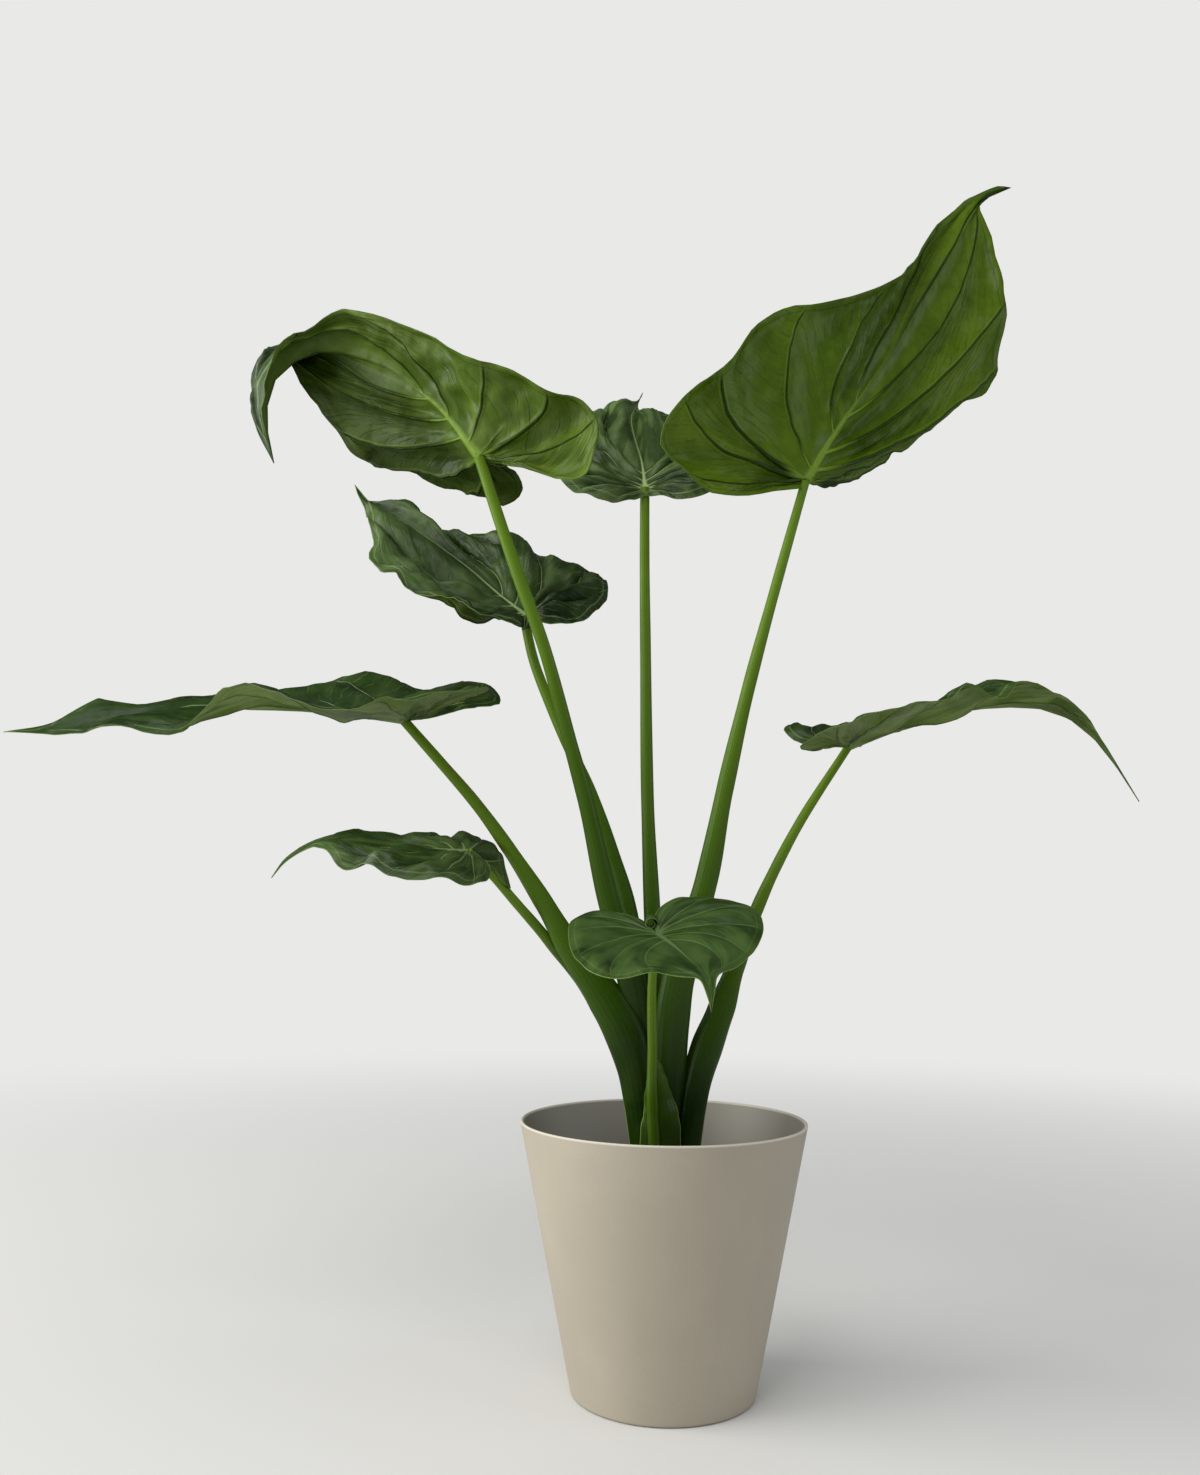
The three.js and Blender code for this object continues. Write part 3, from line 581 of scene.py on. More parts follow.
def wave_over(group, place):
    """A wave from -1 to 1, one for each whole step of place."""
    return maths(group, "SINE", times(group, place, 2 * math.pi))


def make_stripes():
    """Fine parallel stripes, one for each whole step of place, broken up by small patches."""
    group, given, output = effect("stripes", {"Place": 0.0, "Waver": 0.5, "Breaks": 1.0}, "Mask")
    place = object_place(group)
    wander = times(group, cloud(group, place, 60.0, 2.0), given["Waver"])
    wave = wave_over(group, maths(group, "ADD", given["Place"], wander))
    breaks = ramp(group, cloud(group, place, 190.0, 1.0), 0.35, 0.65, 1.0, 0.0)
    kept = maths(group, "SUBTRACT", 1.0, times(group, breaks, given["Breaks"]))
    group.links.new(times(group, ramp(group, wave, 0.0, 1.0), kept), output)
    return group


def make_threads():
    """Thin side veins, one for each three steps of place, broken up here and there."""
    group, given, output = effect("threads", {"Place": 0.0}, "Mask")
    place = object_place(group)
    wander = times(group, cloud(group, place, 35.0, 3.0), 1.4)
    wave = wave_over(group, maths(group, "ADD", maths(group, "DIVIDE", given["Place"], 3.0), wander))
    kept = ramp(group, cloud(group, place, 70.0, 1.0), 0.4, 0.6)
    group.links.new(times(group, ramp(group, wave, 0.8, 1.0), kept), output)
    return group


def make_grain():
    """The fine, slightly pitted skin of moulded plastic, as a height."""
    group, given, output = effect("grain", {"Scale": 900.0}, "Height")
    place = object_place(group)
    rough = cloud(group, place, given["Scale"], 4.0, 0.6)
    pits = add_node(group, "ShaderNodeTexVoronoi", {"Vector": place, "Scale": given["Scale"]}).outputs[0]
    group.links.new(maths(group, "ADD", rough, times(group, pits, 0.4)), output)
    return group


def make_folds():
    """Soft folds that run out along the rows of a sheet, as a height from 0 to 1."""
    group, given, output = effect("folds", {"Place": 0.0, "Out": 0.0}, "Height")
    inputs = {"X": given["Place"], "Y": times(group, given["Out"], 11.0)}
    place = add_node(group, "ShaderNodeCombineXYZ", inputs).outputs[0]
    group.links.new(cloud(group, place, 0.15, 2.5), output)
    return group


MOTTLE, LINE, STRIPES, THREADS = make_mottle(), make_line(), make_stripes(), make_threads()
GRAIN, FOLDS = make_grain(), make_folds()


def new_finish(name, roughness, specular=0.5):
    """A material with its shader's steady values set."""
    finish = bpy.data.materials.new(name)
    finish.use_nodes = True
    shader = finish.node_tree.nodes["Principled BSDF"]
    shader.inputs["Roughness"].default_value = roughness
    shader.inputs["Specular IOR Level"].default_value = specular
    return finish, finish.node_tree, shader


def relief(tree, shader, height, distance, strength=1.0):
    """A height bumped into a shader, distance metres for a height of 1."""
    inputs = {"Height": height, "Distance": distance, "Strength": strength}
    bump = add_node(tree, "ShaderNodeBump", inputs)
    tree.links.new(bump.outputs[0], shader.inputs["Normal"])


def measured(tree, name):
    """A value that the sheet or stalk carries at its corners."""
    return add_node(tree, "ShaderNodeAttribute", attribute_name=name).outputs["Fac"]


def line_at(tree, distance, offset, half_width):
    """A line along both sides of where the distance is 0, at an offset from it."""
    from_line = maths(tree, "ABSOLUTE", maths(tree, "SUBTRACT", distance, offset))
    return use(tree, LINE, distance=from_line, half_width=half_width)


# The two faces of a blade. gloss is the roughness and the specular level. thread_share, the two
# shares of painted light and shade, and vein_share say how clearly the side veins, the painted
# highlights along both sides of a vein, the painted shade beside it and the vein itself show. The
# pale tone is a painted sheen, laid where the face's sheen measure says. vein_depth says how far the
# vein is sunk, and is below 0 where it is raised. The midrib has the young veins' tone at its root,
# which is gone at rib_reach of its length. Widths are in millimetres.
UPPER_FACE = {
    "dark": (12, 34, 0), "mid": (32, 60, 4), "light": (62, 92, 24), "pale": (100, 122, 70),
    "vein": (140, 160, 104), "young_vein": (150, 172, 112), "edge": (110, 134, 64),
    "gloss": (0.38, 0.22), "painted_sheen": "painted_sheen", "thread_share": 0.2, "vein_highlight_share": 0.0, "vein_shade_share": 0.5,
    "vein_share": 0.85, "vein_depth": 0.9, "rib_reach": 0.5, "rib_half_width": 1.7,
}
UNDERSIDE = {
    "dark": (50, 76, 0), "mid": (74, 100, 0), "light": (106, 128, 26), "pale": (126, 146, 84),
    "vein": (26, 46, 0), "young_vein": (100, 128, 30), "edge": (26, 44, 0),
    "gloss": (0.4, 0.18), "painted_sheen": "painted_sheen_below", "thread_share": 0.12, "vein_highlight_share": 0.35,
    "vein_shade_share": 0.3, "vein_share": 0.9, "vein_depth": -0.7, "rib_reach": 0.62, "rib_half_width": 2.4,
}
# The tone of the painted shade on the right half and the lobes
DEEP_SHADE = (10, 26, 0)
# Patches a metre
SHEET_PATCHES = 11.0
SHEET_SPECKS = 90.0
SHEET_BLISTERS = 34.0
# Half widths and places of the drawn lines, among them the painted highlights along the veins, and
# where the painted shade beside a vein and the veins' fading start and end
VEIN_LINE = (1.1, 0.55)
VEIN_HIGHLIGHT_OFFSET = 1.7
VEIN_HIGHLIGHT_LINE = 0.6
VEIN_SHADE_BAND = (1.2, 5.0)
VEIN_END = (2.0, 9.0)
RIB_LINE_AT_TIP = 0.45
SEAM_OFFSET = 4.5
SEAM_LINE = 0.45
EDGE_LINE = 0.5


def blade_finish(name, face):
    """A leaf face: green between fine stripes and soft folds, with its veins and its edge."""
    roughness, specular = face["gloss"]
    finish, tree, shader = new_finish(name, roughness, specular)
    tones = ("dark", "mid", "light", "pale", "vein", "young_vein", "edge")
    dark, mid, light, pale, vein, young_vein, edge = (colour(*face[tone]) for tone in tones)
    fine_place, out, climb, veins = (measured(tree, key) for key in ("fine_place", "out", "climb", "veins"))
    from_vein, from_rib, from_margin = (measured(tree, "from_" + key) for key in ("vein", "rib", "margin"))
    patches = use(tree, MOTTLE, scale=SHEET_PATCHES)
    specks = use(tree, MOTTLE, scale=SHEET_SPECKS)
    folds = use(tree, FOLDS, place=fine_place, out=out)
    open_sheet = times(tree, ramp(tree, out, 0.06, 0.5), ramp(tree, climb, 0.55, 0.9, 1.0, 0.0))
    stripes = times(tree, use(tree, STRIPES, place=fine_place, waver=1.2), open_sheet)
    threads = times(tree, use(tree, THREADS, place=fine_place), open_sheet)

    # The green of the sheet, with painted highlights on the crests of the folds
    base = blend(tree, patches, dark, mid)
    base = blend(tree, ramp(tree, folds, 0.45, 0.8, 0.0, 0.35), base, light)
    base = blend(tree, times(tree, specks, 0.15), base, light)
    base = blend(tree, times(tree, stripes, 0.3), base, dark)
    # Painted sheen: the pale tone laid over the lit crests of the folds
    lit_folds = ramp(tree, maths(tree, "ADD", times(tree, patches, 0.3), folds), 0.5, 0.72, 0.25, 1.0)
    base = blend(tree, times(tree, lit_folds, measured(tree, face["painted_sheen"])), base, pale)
    # Painted shade on the right half and towards the lobes
    base = blend(tree, measured(tree, "shade"), base, colour(*DEEP_SHADE))
    base = blend(tree, times(tree, threads, face["thread_share"], veins), base, vein)

    # The veins, which fade towards the margin
    fading = ramp(tree, from_margin, *VEIN_END, 0.25, 1.0)
    # Painted shade beside each vein, and painted highlights along both its sides
    vein_shade = ramp(tree, from_vein, *VEIN_SHADE_BAND, face["vein_shade_share"], 0.0)
    base = blend(tree, times(tree, vein_shade, fading, veins), base, dark)
    vein_highlights = times(tree, line_at(tree, from_vein, VEIN_HIGHLIGHT_OFFSET, VEIN_HIGHLIGHT_LINE), fading, ramp(tree, out, 0.1, 0.5))
    base = blend(tree, times(tree, vein_highlights, face["vein_highlight_share"]), base, light)
    vein_width = ramp(tree, out, 0.0, 0.7, *VEIN_LINE, "LINEAR")
    vein_line = use(tree, LINE, distance=from_vein, half_width=vein_width)
    vein_mask = times(tree, vein_line, fading, face["vein_share"], veins)
    vein_tone = blend(tree, ramp(tree, out, 0.03, 0.2, 1.0, 0.0), vein, young_vein)
    base = blend(tree, vein_mask, base, vein_tone)

    # The midrib, the thin vein inside the margin and the margin itself
    rib_width = ramp(tree, climb, 0.0, 0.9, face["rib_half_width"], RIB_LINE_AT_TIP, "LINEAR")
    rib_width = times(tree, rib_width, ramp(tree, veins, 0.4, 1.0, 0.35, 1.0))
    rib_line = use(tree, LINE, distance=from_rib, half_width=rib_width)
    rib_tone = blend(tree, ramp(tree, climb, 0.05, face["rib_reach"], 1.0, 0.0), vein, young_vein)
    base = blend(tree, times(tree, rib_line, times(tree, veins, 0.9)), base, rib_tone)
    seam = line_at(tree, from_margin, SEAM_OFFSET, SEAM_LINE)
    base = blend(tree, times(tree, seam, 0.4, veins), base, vein)
    edge_line = use(tree, LINE, distance=from_margin, half_width=EDGE_LINE)
    base = blend(tree, times(tree, edge_line, 0.6), base, edge)
    tree.links.new(base, shader.inputs["Base Color"])
    uneven = ramp(tree, patches, 0.0, 1.0, roughness - 0.04, roughness + 0.08)
    tree.links.new(uneven, shader.inputs["Roughness"])

    # The relief
    height = times(tree, folds, 2.2, open_sheet)
    height = maths(tree, "ADD", height, use(tree, MOTTLE, scale=SHEET_BLISTERS, detail=2.0))
    height = maths(tree, "SUBTRACT", height, times(tree, stripes, 0.04))
    grooves = maths(tree, "MAXIMUM", vein_mask, times(tree, threads, 0.35))
    height = maths(tree, "SUBTRACT", height, times(tree, grooves, face["vein_depth"]))
    relief(tree, shader, times(tree, height, veins), 1.8 * MM, 0.9)
    return finish


def make_stalk_finish():
    """A stalk: fresh green, darker to the foot partly by its own tone and partly by painted shade where the
    stalks crowd, with fine long fibres and a pale edge on its sheath.
    """
    finish, tree, shader = new_finish("stalk_skin", 0.3, 0.16)
    rise = measured(tree, "rise")
    patches = use(tree, MOTTLE, scale=35.0)
    fibres = use(tree, STRIPES, place=measured(tree, "fine_place"), waver=0.25, breaks=0.3)
    wing = use(tree, LINE, distance=measured(tree, "from_edge"), half_width=0.55)
    # Darker towards the foot: partly the stalk's own tone, partly painted shade among the crowded stalks
    low = blend(tree, ramp(tree, rise, 0.05, 0.4), colour(15, 38, 1), colour(48, 76, 6))
    base = blend(tree, ramp(tree, rise, 0.35, 0.95), low, colour(92, 122, 26))
    base = blend(tree, times(tree, patches, 0.2), base, colour(60, 86, 8))
    base = blend(tree, times(tree, fibres, 0.14), base, colour(26, 48, 2))
    base = blend(tree, times(tree, wing, 0.7), base, colour(120, 150, 60))
    tree.links.new(base, shader.inputs["Base Color"])
    tree.links.new(ramp(tree, patches, 0.0, 1.0, 0.28, 0.38), shader.inputs["Roughness"])
    relief(tree, shader, fibres, 0.2 * MM, 0.5)
    return finish


def make_pot_finish():
    """Warm pale beige plastic with a matt moulded skin, with painted shade inside the wall and a painted
    highlight along the lip.
    """
    finish, tree, shader = new_finish("pot_plastic", 0.55, 0.3)
    patches = use(tree, MOTTLE, scale=9.0)
    specks = use(tree, MOTTLE, scale=700.0, detail=1.0)
    place = object_place(tree)
    level = add_node(tree, "ShaderNodeVectorMath", {0: place, 1: (1, 1, 0)}, operation="MULTIPLY")
    radius = far_out(tree, level.outputs[0])
    height = add_node(tree, "ShaderNodeSeparateXYZ", {0: place}).outputs[2]
    slope = (POT_RIM_RADIUS - POT_BASE_RADIUS) / POT_HEIGHT
    mid_wall = maths(tree, "MULTIPLY_ADD", height, slope, POT_BASE_RADIUS - 0.6 * POT_WALL)
    # Painted shade on the inner wall, below the lip
    inside = ramp(tree, maths(tree, "SUBTRACT", mid_wall, radius), 0.0, 0.2 * POT_WALL)
    inside = times(tree, inside, ramp(tree, height, POT_HEIGHT - 2 * MM, POT_HEIGHT - MM, 1.0, 0.0))
    # A painted highlight along the top of the lip
    lip_highlight = ramp(tree, height, POT_HEIGHT - 1.8 * MM, POT_HEIGHT - 0.8 * MM)
    base = blend(tree, patches, colour(158, 150, 134), colour(165, 157, 141))
    base = blend(tree, times(tree, specks, 0.1), base, colour(140, 130, 114))
    base = blend(tree, inside, base, colour(138, 134, 124))
    base = blend(tree, times(tree, lip_highlight, 0.7), base, colour(206, 200, 186))
    tree.links.new(base, shader.inputs["Base Color"])
    tree.links.new(ramp(tree, patches, 0.0, 1.0, 0.5, 0.6), shader.inputs["Roughness"])
    relief(tree, shader, use(tree, GRAIN, scale=1500.0), 0.2 * MM, 0.35)
    return finish


def make_soil_finish():
    """Dark potting soil."""
    finish, tree, shader = new_finish("soil_crumb", 0.95, 0.2)
    base = blend(tree, use(tree, MOTTLE, scale=45.0), colour(38, 27, 20), colour(70, 52, 38))
    specks = use(tree, MOTTLE, scale=380.0)
    base = blend(tree, times(tree, specks, 0.6), base, colour(98, 76, 56))
    tree.links.new(base, shader.inputs["Base Color"])
    relief(tree, shader, use(tree, GRAIN, scale=500.0), MM, 0.8)
    return finish


def make_stem_finish():
    """The stem's brown green bark."""
    finish, tree, shader = new_finish("stem_bark", 0.8, 0.3)
    base = blend(tree, use(tree, MOTTLE, scale=80.0), colour(96, 84, 52), colour(122, 110, 74))
    fine = use(tree, MOTTLE, scale=420.0)
    base = blend(tree, times(tree, fine, 0.5), base, colour(66, 52, 34))
    tree.links.new(base, shader.inputs["Base Color"])
    relief(tree, shader, fine, 0.8 * MM, 0.7)
    return finish


# Modelling

def start_piece(name):
    """Names the primitive that was just added."""
    piece = bpy.context.object
    piece.name = piece.data.name = name
    return piece


def clear_selection():
    if bpy.context.object and bpy.context.object.mode == "EDIT":
        bpy.ops.object.mode_set(mode="OBJECT")
    bpy.ops.object.select_all(action="DESELECT")


def select_where(piece, kind, test):
    """Selects the faces or edges of the piece in edit mode that pass a test."""
    mesh = bmesh.from_edit_mesh(piece.data)
    bpy.ops.mesh.select_all(action="DESELECT")
    bpy.ops.mesh.select_mode(type="FACE" if kind == "faces" else "EDGE")
    for part in getattr(mesh, kind):
        if test(part):
            part.select_set(True)
    mesh.select_flush_mode()
    bmesh.update_edit_mesh(piece.data)


def select_top(piece):
    select_where(piece, "faces", lambda face: face.normal.z > 0.9)


def add_round(name, sides, foot_radius, top_radius, foot, top):
    """A round body between two heights, in edit mode with its top selected."""
    clear_selection()
    bpy.ops.mesh.primitive_cone_add(
        vertices=sides, radius1=foot_radius, radius2=top_radius, depth=top - foot,
        location=(0, 0, (foot + top) / 2), end_fill_type="NGON")
    piece = start_piece(name)
    bpy.ops.object.transform_apply(location=True, rotation=True, scale=True)
    bpy.ops.object.mode_set(mode="EDIT")
    select_top(piece)
    return piece


def leave_smooth(angle):
    """Leaves edit mode, and shades the piece smooth across all edges flatter than an angle."""
    bpy.ops.object.mode_set(mode="OBJECT")
    bpy.ops.object.shade_smooth_by_angle(angle=math.radians(angle))


def settle(piece, node, slot, *finishes):
    """Gives a finished piece its materials and its place in the frame."""
    for finish in finishes:
        piece.data.materials.append(finish)
    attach(piece, "root")
    if node:
        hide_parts(node)


def inside_radius(height):
    """The radius of the pot's inner wall at a height."""
    return mix(POT_BASE_RADIUS, POT_RIM_RADIUS, height / POT_HEIGHT) - POT_WALL


def make_pot():
    """The pot: a tapered wall with a rounded lip and foot, open at the top."""
    def on_lip(edge):
        one, other = edge.verts
        level = abs(one.co.xy.length - other.co.xy.length) < 0.1 * MM
        return level and min(one.co.z, other.co.z) > POT_HEIGHT - MM

    def on_foot(edge):
        return all(corner.co.z < MM and corner.co.xy.length > POT_BASE_RADIUS - MM for corner in edge.verts)

    pot = add_round("pot_shell", POT_SIDES, POT_BASE_RADIUS, POT_RIM_RADIUS, 0, POT_HEIGHT)
    bpy.ops.mesh.inset(thickness=POT_WALL)
    narrowing = inside_radius(POT_FLOOR) / (POT_RIM_RADIUS - POT_WALL)
    bpy.ops.mesh.extrude_region_move(TRANSFORM_OT_translate={"value": (0, 0, POT_FLOOR - POT_HEIGHT)})
    bpy.ops.transform.resize(value=(narrowing, narrowing, 1), center_override=(0, 0, POT_FLOOR))
    select_where(pot, "edges", on_lip)
    bpy.ops.mesh.bevel(offset=POT_LIP_ROUNDING, segments=4, affect="EDGES")
    select_where(pot, "edges", on_foot)
    bpy.ops.mesh.bevel(offset=POT_FOOT_ROUNDING, segments=5, affect="EDGES")
    leave_smooth(angle=40)
    settle(pot, "pot", "pot", make_pot_finish())


def soil_height(x, y):
    """How the soil lies: low heaps and hollows, in metres."""
    (broad, broad_height), (fine, fine_height) = SOIL_HEAPS, SOIL_LUMPS
    heaps = noise.noise(Vector((x * broad, y * broad, 0.3)))
    lumps = noise.noise(Vector((x * fine, y * fine, 4.1)))
    return (broad_height * heaps + fine_height * lumps) * MM


def make_soil(finish):
    """The soil's body, its top worked into an uneven surface."""
    foot_radius, top_radius = (inside_radius(height) - SOIL_GAP for height in (SOIL_FLOOR, SOIL_TOP))
    soil = add_round("soil_bed", SOIL_SIDES, foot_radius, top_radius, SOIL_FLOOR, SOIL_TOP)
    for ring in range(SOIL_RINGS):
        bpy.ops.mesh.inset(thickness=top_radius / (SOIL_RINGS + 1))
    bpy.ops.object.mode_set(mode="OBJECT")
    for corner in soil.data.vertices:
        if corner.co.z > SOIL_TOP - MM and corner.co.xy.length < top_radius - MM:
            corner.co.z += soil_height(corner.co.x, corner.co.y)
    bpy.ops.object.shade_smooth()
    settle(soil, "soil", "soil", finish)


def make_crumbs(finish):
    """Crumbs and bits of bark over the soil: one small lump, copied."""
    clear_selection()
    bpy.ops.mesh.primitive_ico_sphere_add(subdivisions=1, radius=1)
    crumbs = start_piece("soil_crumbs")
    lump = np.array([corner.co for corner in crumbs.data.vertices])
    faces = np.array([tuple(face.vertices) for face in crumbs.data.polygons])
    draw = random.Random(CRUMB_SEED)
    corners, sides = [], []
    reach = inside_radius(SOIL_TOP) - CRUMBS_FROM_WALL
    for crumb in range(CRUMBS):
        radius = math.sqrt(draw.uniform(0.06, 1)) * reach
        turn = draw.uniform(0, 2 * math.pi)
        size = MM * draw.choice(CRUMB_RADII) * draw.uniform(0.8, 1.2)
        stretch = np.array([draw.uniform(0.7, 1.7), draw.uniform(0.6, 1.1), draw.uniform(0.5, 0.9)])
        wobble = np.array([draw.uniform(0.75, 1.2) for corner in lump])[:, None]
        spin = np.array(Matrix.Rotation(draw.uniform(0, 2 * math.pi), 3, "Z")
                        @ Matrix.Rotation(draw.uniform(-0.5, 0.5), 3, "X"))
        x, y = radius * math.cos(turn), radius * math.sin(turn)
        place = np.array([x, y, SOIL_TOP + soil_height(x, y) + 0.15 * size])
        corners.append((lump * wobble * stretch * size) @ spin.T + place)
        sides.append(faces + crumb * len(lump))
    mesh = bpy.data.meshes.new("soil_crumbs")
    mesh.from_pydata(np.concatenate(corners).tolist(), [], np.concatenate(sides).tolist())
    crumbs.data = mesh
    settle(crumbs, None, "soil", finish)


def make_stem():
    """The stem's stub between the stalks, ringed by leaf scars."""
    stem = add_round("stem_stub", STEM_SIDES, STEM_BARK_RADIUS, STEM_BARK_RADIUS, STEM_FOOT, STEM_TOP)
    for width, rise in STEM_RINGS:
        bpy.ops.mesh.inset(thickness=width * MM, depth=rise * MM)
    bpy.ops.object.mode_set(mode="OBJECT")
    for corner in stem.data.vertices:
        wander = 1 + 0.05 * noise.noise(Vector(corner.co) * 60)
        corner.co.x *= wander
        corner.co.y *= wander
        corner.co.z = min(corner.co.z, STEM_TOP)
    leave_smooth(angle=50)
    settle(stem, "stem", "stem", make_stem_finish())


def place_grid(name, points):
    """A grid primitive whose corners are placed row by row at points, given in millimetres."""
    rows, columns = points.shape[:2]
    clear_selection()
    bpy.ops.mesh.primitive_grid_add(x_subdivisions=columns - 1, y_subdivisions=rows - 1, size=1)
    piece = start_piece(name)
    piece.data.vertices.foreach_set("co", (points * MM).ravel())
    return piece


def carry(piece, **values):
    """Keeps values at the piece's corners for its materials."""
    for name, numbers in values.items():
        layer = piece.data.attributes.new(name, "FLOAT", "POINT")
        layer.data.foreach_set("value", np.ascontiguousarray(numbers, np.float32).ravel())


def carried(piece, name):
    numbers = np.empty(len(piece.data.vertices), np.float32)
    piece.data.attributes[name].data.foreach_get("value", numbers)
    return numbers


def weld():
    """Merges the corners of the active piece that lie on each other, and leaves it in edit mode."""
    bpy.ops.object.mode_set(mode="EDIT")
    bpy.ops.mesh.select_all(action="SELECT")
    bpy.ops.mesh.remove_doubles(threshold=0.002 * MM)


def thicken(sheet, thickness, offset, **settings):
    """Gives a sheet its thickness in metres, and shades it smooth."""
    body = sheet.modifiers.new("body", "SOLIDIFY")
    body.thickness = thickness
    body.offset = offset
    for setting, value in settings.items():
        setattr(body, setting, value)
    bpy.ops.object.modifier_apply(modifier=body.name)
    bpy.ops.object.shade_smooth()


# Stalks

def stalk_section(waypoints, share):
    """Centres, side and depth directions, half sizes and sheath wrap of a stalk's ovals."""
    waypoints = np.asarray(waypoints, float)
    line = waypoints[:, :3]
    step = 0.002
    centre = spline(line, share)
    forward = unit(spline(line, share + step) - spline(line, share - step))
    depthwise = np.array([0.0, 1.0, 0.0])
    away = unit(depthwise - dot(depthwise, forward) * forward)
    sideways = np.cross(away, forward)
    half_width = along(waypoints[:, 3], share)[:, None]
    half_depth = along(waypoints[:, 4], share)[:, None]
    sheath = 1 - np.clip((centre[:, 2:] - STEM_TOP / MM) / SHEATH_HEIGHT, 0, 1)
    wrap = -np.sign(waypoints[0, 1]) * SHEATH_WRAP * sheath
    return centre, sideways, away, half_width, half_depth, wrap, smooth(sheath * SHEATH_FADE)


def stalk_tube(name, waypoints, finish, sheathing=1.0, rise=(0.0, 1.0)):
    """A tube of ovals, wide and wrapped round the middle of the plant at its foot."""
    share = np.linspace(0, 1, STALK_SECTIONS + 1)
    centre, sideways, away, half_width, half_depth, wrap, sheath = stalk_section(waypoints, share)
    wrap, sheath = wrap * sheathing, sheath * sheathing
    angle = np.linspace(0, 2 * math.pi, STALK_SIDES + 1)[None, :, None]
    wide, deep = np.cos(angle), np.sin(angle)
    deep = np.sign(deep) * np.abs(deep) ** (1 + SHEATH_SHARPNESS * sheath[:, None])
    points = (centre[:, None] + sideways[:, None] * half_width[:, None] * wide
              + away[:, None] * (half_depth[:, None] * deep + wrap[:, None] * wide ** 2))
    stalk = place_grid(name, points)
    rows = np.broadcast_to(mix(*rise, share)[:, None], points.shape[:2])
    turns = np.broadcast_to(np.linspace(0, 1, STALK_SIDES + 1)[None], points.shape[:2])
    from_edge = (half_width[:, None] * (1 - np.abs(wide)) + ROUND_STALK_EDGE * (1 - sheath[:, None]))[..., 0]
    fibre_count = round(2 * math.pi * half_width.mean() / FIBRE_WIDTH)
    carry(stalk, rise=rows, fine_place=turns * fibre_count, from_edge=from_edge)
    weld()
    bpy.ops.mesh.select_all(action="SELECT")
    bpy.ops.mesh.fill_holes(sides=0)
    bpy.ops.mesh.select_all(action="SELECT")
    bpy.ops.mesh.normals_make_consistent(inside=False)
    leave_smooth(angle=60)
    stalk.data.materials.append(finish)
    return stalk


def make_stalk(name, leaf, finish):
    """A stalk, with its sheath as a tube of its own where the round stalk stands out of it."""
    if "sheath" not in leaf:
        stalk = stalk_tube(f"leaf_stalk_{name}", leaf["stalk"], finish)
    else:
        stalk = stalk_tube(f"leaf_stalk_{name}", leaf["stalk"], finish, sheathing=0.0, rise=(0.42, 1.0))
        sheath = stalk_tube(f"leaf_sheath_{name}", leaf["sheath"], finish, rise=(0.1, 0.5))
        clear_selection()
        sheath.select_set(True)
        stalk.select_set(True)
        bpy.context.view_layer.objects.active = stalk
        bpy.ops.object.join()
    settle(stalk, f"stalk_{name}", "stalk")


# Blades

def root_share(leaf, share):
    """The share of the midrib where the row starts that ends at this share of the margin."""
    return LAST_ROOT * np.clip((share - FAN_SHARE) / (1 - FAN_SHARE), 0, 1) ** leaf["crowding"]


def half_face(leaf, half, share, across):
    """Points of half a blade's upper face: share runs along the margin, across out from the midrib."""
    midrib = leaf["midrib"]
    climb = root_share(leaf, share)
    root = midrib.at(climb)
    forward = midrib.direction(climb)
    edge = leaf["margin"][half].at(share)
    reach = edge - root
    ahead = dot(reach, forward)
    sideways = reach - ahead * forward
    upwards = unit(np.cross(forward, sideways)) * (1 if half == "left" else -1)
    bow = along(leaf["bow"][half], share)[..., None] * length(sideways)
    control = root + FORWARD_SWEEP * ahead * forward + SIDE_REACH * sideways + bow * upwards
    across = across[..., None]
    return (1 - across) ** 2 * root + 2 * across * (1 - across) * control + across ** 2 * edge


def vein_row(vein, across):
    """The share of the margin whose row a vein has reached: it runs forwards over the rows."""
    start, end = vein
    return mix(start, end, across ** VEIN_BEND)


def vein_spread(leaf, half, share, across):
    """How far the sheet spreads at right angles to its rows for a whole share, in millimetres."""
    step = 0.004
    upto = np.minimum(across + step, 1)
    over = half_face(leaf, half, share + step, across) - half_face(leaf, half, share - step, across)
    over = over / (2 * step)
    out = unit(half_face(leaf, half, share, upto) - half_face(leaf, half, share, upto - 2 * step))
    return length(over - dot(over, out) * out)[..., 0]


def half_rows(leaf, half, columns):
    """Half a blade's rows at each column: the share of the margin, the place among the veins, and the
    distance to the nearest vein."""
    veins = leaf.get("veins", {}).get(half, VEINS)
    stops = np.array([vein_row(vein, columns) for vein in ((0, 0), *veins, (1, 1))])
    middles = stops[1:-1]
    spreads = np.array([np.maximum(vein_spread(leaf, half, middle, columns), 1.0) for middle in middles])
    steps = np.array(VEIN_ROWS)[:, None]
    rows = [stops[:1]]
    for number, (middle, spread) in enumerate(zip(middles, spreads), start=1):
        room = VEIN_ROOM * np.minimum(middle - stops[number - 1], stops[number + 1] - middle)
        reach = np.minimum(VEIN_ROWS[-1] * mix(*VEIN_HALF_WIDTH, columns) / spread, room)
        rows.append(middle + steps / VEIN_ROWS[-1] * reach)
    rows.append(stops[-1:])
    between = np.linspace(0, 1, ROWS_BETWEEN + 2)[1:-1, None]
    filled = [rows[0]]
    for block in rows[1:]:
        filled += [mix(filled[-1][-1], block[0], between), block]
    share = np.concatenate(filled)
    place = np.array([np.interp(share[:, column], stops[:, column], np.arange(len(stops)))
                      for column in range(len(columns))]).T
    distance = np.min([np.abs(share - middle) * spread for middle, spread in zip(middles, spreads)], axis=0)
    return share, place, distance


